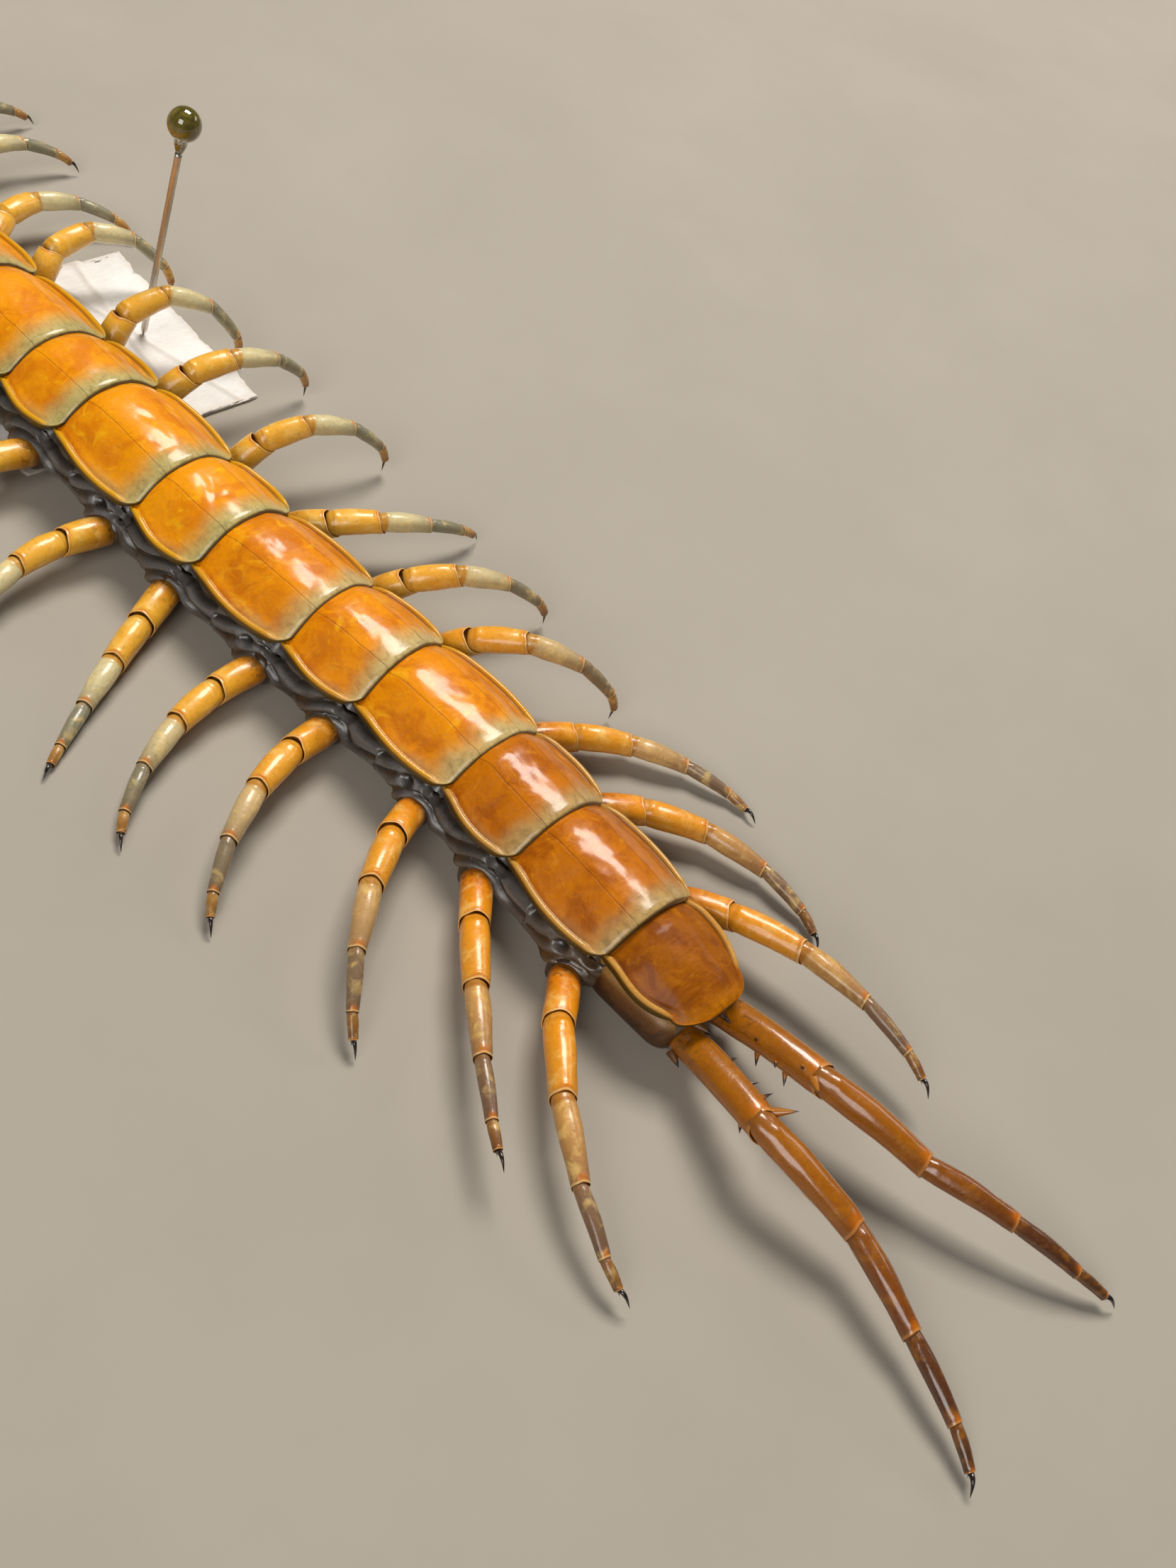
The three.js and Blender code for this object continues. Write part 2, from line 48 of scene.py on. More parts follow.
# Camera, worked out from the photograph
PHOTO_HEIGHT = 2212
FOCAL_PIXELS = 2088
SENSOR = 36
CAMERA_PLACE = (-54.05, -119.03, 92.8)
CAMERA_AIM = (11.62, -86.6, 5)
CAMERA_ROLL = 25.3
CLIP_METRES = (0.005, 10)

# Body, as the solids have it
TERGITE_LENGTHS = dict(enumerate([
    7.4, 5.6, 8.4, 6.4, 9.2, 6.6, 9.0, 9.6, 7.0, 9.9, 7.1,
    9.8, 6.9, 9.5, 7.1, 9.9, 7.6, 10.2, 7.6, 9.9, 8.1,
], start=1))
LAST = len(TERGITE_LENGTHS)
HALF_WIDTHS = [(1, 5.0), (4, 5.5), (9, 5.9), (15, 6.0), (18, 5.8), (20, 5.6), (21, 4.8)]
ORIGIN_TERGITE = 9
RIM_HEIGHT = 5.5
ARCH_HEIGHT = 3.0
ARCH_POWER = 2.2
GAP = 0.3
HEADINGS = [
    (-110, 2), (-99, 1), (-84, 1), (-69, -8.5), (-51, -5.6),
    (-29, -3.7), (-4, -1.5), (26, 3), (61, 7), (92, 9),
]
PAPER_LIFT = 0.85
LIFT_START, LIFT_FULL, LIFT_HELD, LIFT_END = -51, -38, -13, -5
TRUNK_RANGES = [(1, 3), (4, 7), (8, 10), (11, 13), (14, 17), (18, 20)]
TRUNK_NODES = [f"trunk_{i + 1}" for i in range(len(TRUNK_RANGES))]
SPIRACLES = [3, 5, 8, 10, 12, 14, 16, 18, 20]
SIDES = ((-1, "l"), (1, "r"))
UP = np.array([0, 0, 1.0])

# Legs, as the solids have them
LEG_MIDDLE = [4.2, 4.15, 4.5, 3.8, 1.6, 1.4]
LEG_REAR = [4.9, 5.9, 5.9, 4.7, 2.1, 1.5]
LEG_SIZES = [(1, 0.74), (4, 0.86), (9, 0.93), (14, 1)]
LEG_RADII = [1.3, 1.15, 0.92, 0.6, 0.42, 0.27]
ROOT_HEIGHT = 2.3
ROOT_OUTSET = 0.2
ROOT_FROM_REAR = [(1, 2.6), (9, 2.4), (13, 1.9), (15, 1.5)]
COXA_LENGTH = 2.6
TIP_HEIGHT = 0.25
REAR_SHAPE_FROM = 16
REAR_SHAPE_SPAN = 4
DROOP_RANGE = (-10, 40)
DROOP_STEPS = 24
LEFT_POSES = [
    (36, -4, 18), (30, -4, 18), (26, -3, 18), (20, -3, 18), (16, -3, 18),
    (14, -3, 16), (12, -3, 16), (10, -3, 15), (8, -3, 15), (6, -3, 14),
    (3, -3, 13), (1, -3, 12), (4, -7, 10), (9, -12, 4), (-20, -2, -5),
    (4, -11, 0), (-2, -10, 10), (-22, -9, 18), (-46, -4, 8, 3.5), (-39, -11, 13, 0.8),
]
RIGHT_POSES = [
    (33, -4, 18), (30, -3, 18), (24, -3, 18), (21, -3, 18), (17, -2, 18),
    (15, -2, 17), (14, -1, 17), (16, -5, 18), (22, -12, 20), (36, -24, 10),
    (28, -25, 34), (14, -20, 45), (-16, 2, 38), (-14, -4, 42), (-48, 9, 22),
    (-42, 1, 38), (-58, 0, 44), (-27, -14, -2), (-35, -17, 0), (-62, -9, 16, 2.5),
]
LAST_LENGTHS = [8.2, 9.1, 7.4, 5.9, 2.9, 1.5]
LAST_RADII = [1.35, 1.2, 0.95, 0.7, 0.5, 0.3]
LAST_TURNS = {-1: [-77, -97, -79, -75, -68, -49], 1: [-87, -75, -69, -68, -66, -69]}
LAST_LIFTS = {-1: [20, -12, -9, -9, -16, -22], 1: [18, -8, -4, -15, -21, -32]}
LAST_OUTSET, LAST_BEHIND, LAST_HEIGHT = 2.2, 0.55, 2.95
LAST_SPINES = [
    (0.3, 50, 0.8), (0.55, 75, 0.9), (0.78, 40, 1), (0.35, 120, 0.9), (0.65, 125, 0.9),
    (0.93, 60, 1.7), (0.45, 175, 0.8), (0.75, 200, 0.8),
]


# Small functions

def smooth(x, low, high):
    t = np.clip((x - low) / (high - low), 0, 1)
    return t * t * (3 - 2 * t)


def hill(x, centre, width):
    return np.exp(-((x - centre) / width) ** 2)


def keyed(keys, x):
    return np.interp(x, [key for key, _ in keys], [value for _, value in keys])


def rounded(keys, x, window):
    """Keyed value averaged over a window, so that its corners are round."""
    x = np.asarray(x, float)
    return sum(keyed(keys, x + offset) for offset in np.linspace(-window, window, 9)) / 9


def mix(a, b, t):
    return a + (b - a) * t


def arc(x):
    """Height of a quarter circle, from 1 at 0 down to 0 at 1."""
    return np.sqrt(1 - np.clip(x, 0, 1) ** 2)


def turns(count):
    """Angles evenly spaced round a circle."""
    return np.arange(count) / count * TAU


def eased(count, low=0, high=1):
    """Column of shares that stand closer together towards both ends."""
    return (0.5 - 0.5 * np.cos(np.linspace(low, high, count) * math.pi))[:, None]


def lattice(cell, seed):
    x, y, z = (cell[..., i].astype(np.uint64) for i in range(3))
    mask = np.uint64(0xFFFFFFFF)
    h = (x * np.uint64(374761393) + y * np.uint64(668265263) + z * np.uint64(362437)) & mask
    h = (h + np.uint64(seed * 144665 + 17)) & mask
    h = ((h ^ (h >> np.uint64(13))) * np.uint64(1274126177)) & mask
    h = h ^ (h >> np.uint64(16))
    return (h & np.uint64(0xFFFF)).astype(float) / 32767.5 - 1


def noise(points, size, seed=0):
    """Smooth noise from -1 to 1 at points, with lumps of that size, or a size for each axis."""
    place = np.asarray(points) / size
    cell = np.floor(place).astype(np.int64)
    part = place - cell
    part = part * part * (3 - 2 * part)
    total = 0
    for corner in np.ndindex(2, 2, 2):
        weight = np.prod(np.where(np.array(corner) == 1, part, 1 - part), axis=-1)
        total = total + weight * lattice(cell + np.array(corner) + 4096, seed)
    return total


def layered(points, size, seed=0, layers=3):
    total = 0
    for i in range(layers):
        total = total + noise(points, np.asarray(size) / 2 ** i, seed + 31 * i) / 2 ** i
    return total


# The body's line

REAR = {ORIGIN_TERGITE: -TERGITE_LENGTHS[ORIGIN_TERGITE] / 2}
for k in range(ORIGIN_TERGITE - 1, 0, -1):
    REAR[k] = REAR[k + 1] + TERGITE_LENGTHS[k + 1]
for k in range(ORIGIN_TERGITE + 1, LAST + 1):
    REAR[k] = REAR[k - 1] - TERGITE_LENGTHS[k]
FRONT = {k: REAR[k] + TERGITE_LENGTHS[k] for k in REAR}
ROOT = {k: REAR[k] + keyed(ROOT_FROM_REAR, k) for k in range(1, LAST)}
HEAD_STATION = FRONT[1] + GAP

LINE_STEP = 0.5
LINE_REAR, LINE_FRONT = -130, 110
LINE_STATIONS = np.arange(LINE_REAR, LINE_FRONT + LINE_STEP, LINE_STEP)


def line_table():
    middle = LINE_STATIONS[:-1] + LINE_STEP / 2
    heading = np.radians(keyed(HEADINGS, middle))
    x = np.concatenate([[0], np.cumsum(np.sin(heading) * LINE_STEP)])
    y = np.concatenate([[0], np.cumsum(np.cos(heading) * LINE_STEP)])
    origin = np.searchsorted(LINE_STATIONS, 0)
    return x - x[origin], y - y[origin]


LINE_X, LINE_Y = line_table()


def lift_at(station):
    return PAPER_LIFT * smooth(station, LIFT_START, LIFT_FULL) * (1 - smooth(station, LIFT_HELD, LIFT_END))


def heading_at(station):
    return np.radians(keyed(HEADINGS, station))


def body_point(station, right, height):
    """Points at stations, so far to the right of the body's line and so high over its underside."""
    station, right, height = np.broadcast_arrays(
        np.asarray(station, float), np.asarray(right, float), np.asarray(height, float)
    )
    heading = heading_at(station)
    x = np.interp(station, LINE_STATIONS, LINE_X) + right * np.cos(heading)
    y = np.interp(station, LINE_STATIONS, LINE_Y) - right * np.sin(heading)
    return np.stack([x, y, height + lift_at(station)], axis=-1)


def leg_direction(side, station, sweep, lift):
    heading = heading_at(station)
    sweep, lift = math.radians(sweep), math.radians(lift)
    out = side * math.cos(sweep) * math.cos(lift)
    ahead = math.sin(sweep) * math.cos(lift)
    return np.array([
        out * math.cos(heading) + ahead * math.sin(heading),
        ahead * math.cos(heading) - out * math.sin(heading),
        math.sin(lift),
    ])


def leg_joints(k, side, pose):
    """Joints of a leg from root to tip, drooping just enough to bring the tip to its height."""
    sweep, turn, lift = pose[:3]
    tip_height = pose[3] if len(pose) > 3 else TIP_HEIGHT
    root = body_point(ROOT[k], side * (keyed(HALF_WIDTHS, k) + ROOT_OUTSET), ROOT_HEIGHT)
    rear = max(0, (k - REAR_SHAPE_FROM) / REAR_SHAPE_SPAN) ** 1.2
    size = keyed(LEG_SIZES, k)
    lengths = [mix(middle * size, behind, rear) for middle, behind in zip(LEG_MIDDLE, LEG_REAR)]

    def walk(droop):
        joints = [root]
        for i, length in enumerate(lengths):
            direction = leg_direction(side, ROOT[k], sweep + turn * i, lift - droop * i)
            joints.append(joints[-1] + length * direction)
        return joints

    low, high = DROOP_RANGE
    for _ in range(DROOP_STEPS):
        droop = (low + high) / 2
        if walk(droop)[-1][2] > tip_height:
            low = droop
        else:
            high = droop
    return walk(high)


def last_joints(side):
    joints = [body_point(REAR[LAST] - LAST_BEHIND, side * LAST_OUTSET, LAST_HEIGHT)]
    for length, turn, lift in zip(LAST_LENGTHS, LAST_TURNS[side], LAST_LIFTS[side]):
        joints.append(joints[-1] + length * leg_direction(side, REAR[LAST - 1], turn, lift))
    return joints


# Meshes

class Shape:
    """Closed grids of points gathered into one mesh, with named values at the points."""

    def __init__(self, **defaults):
        self.points = []
        self.faces = []
        self.values = {}
        self.defaults = defaults
        self.count = 0

    def grid(self, points, **values):
        """Rows of points, each row a ring, closed at both ends by a fan."""
        rows, columns, _ = points.shape
        flat = points.reshape(-1, 3)
        ends = np.stack([points[0].mean(0), points[-1].mean(0)])
        index = np.arange(rows * columns).reshape(rows, columns)
        beside = np.roll(index, -1, axis=1)
        quads = np.stack([index[:-1], beside[:-1], beside[1:], index[1:]], axis=-1).reshape(-1, 4)
        first = np.stack([np.full(columns, rows * columns), beside[0], index[0]], axis=-1)
        last = np.stack([np.full(columns, rows * columns + 1), index[-1], beside[-1]], axis=-1)
        triangles = np.concatenate([first, last])
        everything = np.concatenate([flat, ends])
        if volume(everything, quads, triangles) < 0:
            quads = quads[:, ::-1]
            triangles = triangles[:, ::-1]
        self.points.append(everything)
        self.faces += [quads + self.count, triangles + self.count]
        for name, value in {**self.defaults, **values}.items():
            spread = np.broadcast_to(value, (rows, columns)).astype(float)
            tips = [spread[0].mean(), spread[-1].mean()]
            self.values.setdefault(name, []).append(np.concatenate([spread.reshape(-1), tips]))
        self.count += len(everything)


def volume(points, quads, triangles):
    every = np.concatenate([triangles, quads[:, [0, 1, 2]], quads[:, [0, 2, 3]]])
    a, b, c = (points[every[:, i]] - points[0] for i in range(3))
    return np.einsum("ij,ij->i", a, np.cross(b, c)).sum()


def link(name, data):
    made = bpy.data.objects.new(name, data)
    bpy.context.scene.collection.objects.link(made)
    return made


def make_piece(name, shape, material, nodes):
    """Mesh object from a shape, riding on the body and standing for the nodes."""
    points = np.concatenate(shape.points) * MM
    loops = np.concatenate([faces.reshape(-1) for faces in shape.faces])
    sizes = np.concatenate([np.full(len(faces), faces.shape[1]) for faces in shape.faces])
    starts = np.concatenate([[0], np.cumsum(sizes)[:-1]])
    mesh = bpy.data.meshes.new(name)
    mesh.vertices.add(len(points))
    mesh.vertices.foreach_set("co", points.astype(np.float32).reshape(-1))
    mesh.loops.add(len(loops))
    mesh.loops.foreach_set("vertex_index", loops.astype(np.int32))
    mesh.polygons.add(len(sizes))
    mesh.polygons.foreach_set("loop_start", starts.astype(np.int32))
    mesh.polygons.foreach_set("use_smooth", np.ones(len(sizes), bool))
    for key, parts in shape.values.items():
        attribute = mesh.attributes.new(key, "FLOAT", "POINT")
        attribute.data.foreach_set("value", np.concatenate(parts).astype(np.float32))
    mesh.update(calc_edges=True)
    mesh.validate()
    mesh.materials.append(material)
    piece = link(name, mesh)
    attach(piece, "root")
    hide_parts(*nodes)


def unit(vectors):
    return vectors / np.linalg.norm(vectors, axis=-1, keepdims=True)


def smooth_path(points, count):
    """Curve through points, evenly spaced by their index."""
    points = np.asarray(points, float)
    ends = np.concatenate([[2 * points[0] - points[1]], points, [2 * points[-1] - points[-2]]])
    t = np.linspace(0, len(points) - 1, count)
    i = np.minimum(t.astype(int), len(points) - 2)
    part = (t - i)[:, None]
    a, b, c, d = (ends[i + offset] for offset in range(4))
    return b + 0.5 * part * (c - a + part * (2 * a - 5 * b + 4 * c - d + part * (3 * b - 3 * c + d - a)))


def tube(path, radii, sides, flatness=1.0):
    """Rings round a path, from above round to the side and below."""
    path = np.asarray(path, float)
    ahead = unit(np.gradient(path, axis=0))
    side = unit(np.cross(UP, ahead))
    up = np.cross(ahead, side)
    angle = turns(sides)
    radii = np.asarray(radii, float)[:, None, None]
    around = side[:, None] * np.sin(angle)[:, None] + up[:, None] * (flatness * np.cos(angle))[:, None]
    return path[:, None] + around * radii


# Materials

MIX_SHARE, MIX_FIRST, MIX_SECOND, MIX_RESULT = 0, 6, 7, 2


def linear(red, green, blue):
    """Colour for a shader from 0 to 255 display values."""
    out = []
    for value in (red, green, blue):
        value /= 255
        out.append(value / 12.92 if value <= 0.04045 else ((value + 0.055) / 1.055) ** 2.4)
    return (*out, 1)


def shade(colour, share):
    return tuple(value * share for value in colour)


class Paint:
    """Short names for the nodes of one material."""

    def __init__(self, name, **settings):
        self.material = bpy.data.materials.new(name)
        self.material.use_nodes = True
        self.tree = self.material.node_tree
        self.shader = self.tree.nodes["Principled BSDF"]
        for key, value in settings.items():
            self.shader.inputs[key.replace("_", " ")].default_value = value
        self.plain = self.place()

    def node(self, kind, **properties):
        made = self.tree.nodes.new(kind)
        for key, value in properties.items():
            setattr(made, key, value)
        return made

    def feed(self, socket, value):
        if isinstance(value, bpy.types.NodeSocket):
            self.tree.links.new(value, socket)
        else:
            socket.default_value = value

    def place(self, stretch=(1, 1, 1)):
        """Coordinates in millimetres, stretched."""
        coordinates = self.node("ShaderNodeTexCoord").outputs["Object"]
        mapping = self.node("ShaderNodeMapping")
        self.feed(mapping.inputs["Vector"], coordinates)
        mapping.inputs["Scale"].default_value = [1000 / value for value in stretch]
        return mapping.outputs["Vector"]

    def value(self, name):
        return self.node("ShaderNodeAttribute", attribute_name=name).outputs["Fac"]

    def noise(self, vector, scale=1.0, detail=4, roughness=0.55, distortion=0.0):
        made = self.node("ShaderNodeTexNoise")
        self.feed(made.inputs["Vector"], vector)
        for name, value in (("Scale", scale), ("Detail", detail), ("Roughness", roughness),
                            ("Distortion", distortion)):
            made.inputs[name].default_value = value
        return made.outputs["Fac"]

    def grain(self, *noise):
        """Noise that is the same size in all directions."""
        return self.noise(self.plain, *noise)

    def patches(self, colour, other, low, high, most, *noise):
        """Another colour over the first where the noise is high, up to a share."""
        return self.mix(self.step(self.grain(*noise), low, high, 0, most), colour, other)

    def over(self, colour, **others):
        """Colours laid over the first by the values that the mesh has at its points."""
        for name, other in others.items():
            colour = self.mix(self.value(name), colour, other)
        return colour

    def gloss(self, low, high, smoothest, spread, *noise):
        """Roughness that rises with the noise."""
        return self.step(self.grain(*noise), low, high, smoothest, smoothest + spread)

    def math(self, operation, a, b=0.0):
        made = self.node("ShaderNodeMath", operation=operation)
        self.feed(made.inputs[0], a)
        self.feed(made.inputs[1], b)
        return made.outputs[0]

    def step(self, value, low, high, to_low=0.0, to_high=1.0):
        made = self.node("ShaderNodeMapRange", interpolation_type="SMOOTHSTEP")
        for name, given in (("Value", value), ("From Min", low), ("From Max", high),
                            ("To Min", to_low), ("To Max", to_high)):
            self.feed(made.inputs[name], given)
        return made.outputs["Result"]

    def ramp(self, value, *stops):
        """Colour on a ramp with stops of (place, colour)."""
        made = self.node("ShaderNodeValToRGB")
        elements = made.color_ramp.elements
        while len(elements) < len(stops):
            elements.new(0.5)
        for element, (place, colour) in zip(elements, stops):
            element.position = place
            element.color = linear(*colour)
        self.feed(made.inputs["Fac"], value)
        return made.outputs["Color"]

    def mix(self, share, first, second):
        made = self.node("ShaderNodeMix", data_type="RGBA")
        self.feed(made.inputs[MIX_SHARE], share)
        for index, given in ((MIX_FIRST, first), (MIX_SECOND, second)):
            self.feed(made.inputs[index], linear(*given) if isinstance(given, tuple) else given)
        return made.outputs[MIX_RESULT]

    def bumps(self, *layers):
        """Bumps one over another, each with a noise or height, a depth in millimetres and a strength."""
        normal = None
        for height, distance, strength in layers:
            made = self.node("ShaderNodeBump")
            made.inputs["Strength"].default_value = strength
            made.inputs["Distance"].default_value = distance * MM
            self.feed(made.inputs["Height"], self.grain(*height) if isinstance(height, tuple) else height)
            if normal is not None:
                self.feed(made.inputs["Normal"], normal)
            normal = made.outputs["Normal"]
        return normal

    def finish(self, colour=None, roughness=None, normal=None):
        for name, given in (("Base Color", colour), ("Roughness", roughness), ("Normal", normal)):
            if given is not None:
                self.feed(self.shader.inputs[name], given)
        return self.material


def tergite_material(name, main, deep, glow, band, rim, gloss, coat=0.6):
    """Waxy plate: mottled amber, a dull band behind, gold rims, fine sutures, and painted shade on the rims'
    outer sides and undersides, in the grooves inside the rims and along the rear edges.
    """
    paint = Paint(name, Coat_Weight=coat, Coat_Roughness=0.17, Specular_IOR_Level=0.12)
    colour = paint.patches(main, deep, 0.42, 0.64, 1, 0.36, 5, 0.62, 0.7)
    colour = paint.patches(colour, glow, 0.56, 0.72, 0.7, 0.55, 4, 0.6, 1.0)
    colour = paint.patches(colour, deep, 0.5, 0.8, 0.4, 2.4, 4, 0.6, 0.3)
    along = paint.noise(paint.place((0.5, 0.9, 1)), 1.2, 4, 0.6, 0.4)
    band_colour = paint.mix(paint.step(along, 0.4, 0.7), band, shade(band, 0.84))
    # outer: the rims' outer, downward sides and the undersides, darkened to olive as painted shade.
    colour = paint.over(colour, band=band_colour, rim=rim, outer=(84, 64, 16))
    # Darker line in the groove inside each rim: painted shade.
    colour = paint.mix(paint.math("MULTIPLY", paint.value("groove"), 0.4), colour, shade(deep, 0.5))
    off = paint.math("ABSOLUTE", paint.value("off"))
    line = paint.step(off, 0.02, 0.07, 1.0, 0.0)
    colour = paint.mix(paint.math("MULTIPLY", line, 0.3), colour, shade(deep, 0.5))
    # Near black along the down-turned rear edge and the underside behind it: painted shade.
    colour = paint.mix(paint.step(paint.value("rear"), 0.03, 0.2, 0.85, 0.0), colour, (58, 44, 22))
    roughness = paint.gloss(0.35, 0.75, gloss, 0.16, 4.5, 6, 0.7)
    wrinkles = paint.noise(paint.place((1.8, 0.3, 1)), 1.0, 4, 0.6, 0.5)
    band_relief = paint.math("MULTIPLY", along, paint.value("band"))
    normal = paint.bumps(
        (wrinkles, 0.09, 0.7), ((8, 4, 0.6), 0.018, 0.6), ((1.2, 3, 0.5, 0.6), 0.14, 0.6),
        (paint.step(off, 0.01, 0.09), 0.03, 0.8), (band_relief, 0.06, 0.6))
    return paint.finish(colour, roughness, normal)


def leg_material(name, middle, behind, glow, lip, gloss, coat):
    """Leg coloured along its run of articles, browner towards the tail."""
    paint = Paint(name, Coat_Weight=coat, Coat_Roughness=0.14, Specular_IOR_Level=0.35,
                  Subsurface_Weight=0.05, Subsurface_Radius=(0.5 * MM, 0.3 * MM, 0.1 * MM),
                  Subsurface_Scale=1.0)
    run = paint.math("DIVIDE", paint.value("run"), 6.0)
    rear_share = paint.step(paint.value("behind"), 0.72, 0.97)
    colour = paint.mix(rear_share, paint.ramp(run, *middle), paint.ramp(run, *behind))
    colour = paint.patches(colour, glow, 0.48, 0.72, 0.45, 0.8, 5, 0.6, 0.6)
    colour = paint.patches(colour, (120, 80, 36), 0.5, 0.8, 0.4, 3.5, 4, 0.6)
    colour = paint.mix(paint.math("MULTIPLY", paint.value("knee"), 0.8), colour, (224, 120, 8))
    # Darker brown blotches near the body, where each leg comes out of the flank.
    root_blotches = paint.step(paint.grain(1.7, 4, 0.6, 0.8), 0.5, 0.68)
    near_body = paint.step(run, 0.02, 0.12, 0.8, 0.0)
    colour = paint.mix(paint.math("MULTIPLY", root_blotches, near_body), colour, (84, 54, 18))
    # inside: darker brown inside each sleeve and on the sunk base of each article, painted shade in the
    # joints.
    colour = paint.over(colour, ring=(130, 76, 16), lip=lip, inside=(124, 78, 28), point=(26, 18, 15))
    normal = paint.bumps(((1.5, 4, 0.6, 0.5), 0.09, 0.6), ((10, 4, 0.6), 0.014, 0.5))
    return paint.finish(colour, paint.gloss(0.3, 0.75, gloss, 0.2, 4, 5, 0.65), normal)


def flesh_material():
    """Dried skin of the flanks: shiny slate folds, with painted highlights on their ridges and painted shade
    in their valleys, brown plates between them, and painted shade under the rims, at the seams and in the
    spiracle slits.
    """
    paint = Paint("membrane", Coat_Weight=0.5, Coat_Roughness=0.22, Specular_IOR_Level=0.5)
    # Colour by fold level: light on the ridges is painted highlight, dark in the valleys is painted shade.
    colour = paint.ramp(paint.value("fold"), (0.0, (20, 15, 11)), (0.35, (58, 50, 43)),
                        (0.7, (94, 89, 85)), (1.0, (134, 133, 134)))
    colour = paint.patches(colour, (66, 50, 32), 0.46, 0.64, 0.5, 0.3, 4, 0.6, 0.5)
    colour = paint.over(colour, plate=(96, 66, 28))
    colour = paint.patches(colour, (26, 20, 17), 0.5, 0.8, 0.4, 4, 4, 0.6)
    # Near black: painted shade under the plates' rims, at the seams between segments and in the spiracle
    # slits, and the dark joint at the end of each coxa.
    colour = paint.over(colour, dark=(14, 10, 8))
    wrinkles = paint.noise(paint.place((0.7, 1.6, 0.6)), 1.3, 5, 0.6, 0.5)
    normal = paint.bumps((wrinkles, 0.08, 0.6), ((9, 4, 0.6), 0.015, 0.6))
    return paint.finish(colour, paint.gloss(0.3, 0.75, 0.26, 0.2, 3, 5, 0.65), normal)


def shell_material(name, main, deep, pale, gloss, coat):
    """Hard shell of the head, claws and belly, with dark points, pale lips and thin lines."""
    paint = Paint(name, Coat_Weight=coat, Coat_Roughness=0.2, Specular_IOR_Level=0.5)
    colour = paint.patches(main, deep, 0.42, 0.66, 1, 0.5, 5, 0.6, 0.6)
    colour = paint.patches(colour, deep, 0.5, 0.8, 0.35, 2.2, 4, 0.6)
    colour = paint.over(colour, lip=pale)
    line = paint.step(paint.math("ABSOLUTE", paint.value("off")), 0.03, 0.1, 0.7, 0.0)
    colour = paint.mix(line, colour, shade(deep, 0.45))
    colour = paint.over(colour, dark=(40, 24, 14), point=(18, 13, 12))
    pits = paint.step(paint.grain(3.2, 2, 0.4), 0.28, 0.42)
    normal = paint.bumps((pits, 0.03, 0.6), ((1.1, 4, 0.6, 0.4), 0.1, 0.5), ((10, 4, 0.6), 0.012, 0.5))
    return paint.finish(colour, paint.gloss(0.3, 0.75, gloss, 0.16, 4, 5, 0.65), normal)


def small_material(name, main, other, roughness, **settings):
    """Two mottled colours with a fine grain, for claws and eyes."""
    paint = Paint(name, **settings)
    colour = paint.patches(main, other, 0.4, 0.7, 1, 1.6, 5, 0.6, 0.4)
    rough = paint.gloss(0.3, 0.7, roughness, 0.12, 8, 5, 0.6)
    return paint.finish(colour, rough, paint.bumps(((10, 4, 0.6), 0.008, 0.6)))


def antenna_material():
    paint = Paint("antenna", Coat_Weight=0.15, Coat_Roughness=0.35)
    run = paint.value("run")
    colour = paint.ramp(run, (0.0, (176, 92, 26)), (0.25, (160, 112, 50)), (0.4, (122, 118, 90)),
                        (1.0, (92, 94, 78)))
    colour = paint.patches(colour, (84, 70, 44), 0.5, 0.75, 0.4, 1.2, 4, 0.6)
    colour = paint.over(colour, lip=(190, 168, 116))
    return paint.finish(colour, paint.step(run, 0.28, 0.4, 0.3, 0.6), paint.bumps(((16, 3, 0.7), 0.02, 0.7)))


def bead_material():
    paint = Paint("bead", Roughness=0.06, IOR=1.5, Coat_Weight=1.0, Coat_Roughness=0.03,
                  Transmission_Weight=0.2)
    swirl = paint.grain(0.8, 3, 0.5, 0.8)
    return paint.finish(paint.ramp(swirl, (0.35, (78, 70, 18)), (0.7, (140, 124, 50))))


def steel_material():
    paint = Paint("steel", Metallic=1.0)
    streaks = paint.noise(paint.place((1, 1, 14)), 1.2, 4, 0.6)
    colour = paint.ramp(streaks, (0.3, (170, 160, 148)), (0.75, (222, 214, 204)))
    roughness = paint.gloss(0.3, 0.7, 0.32, 0.18, 3, 4, 0.6)
    return paint.finish(colour, roughness, paint.bumps(((5, 3), 0.01, 0.4)))


def paper_material():
    paint = Paint("paper", Roughness=0.9, Specular_IOR_Level=0.25)
    fibre = paint.noise(paint.place((2.2, 0.5, 1)), 2.4, 5, 0.7, 0.8)
    colour = paint.ramp(fibre, (0.3, (232, 228, 222)), (0.7, (247, 245, 242)))
    # Darker at the worn edges, which is wear, and along the creases, which is painted shade.
    colour = paint.over(colour, worn=(206, 190, 172))
    return paint.finish(colour, None, paint.bumps(((5, 5, 0.7), 0.035, 0.6)))


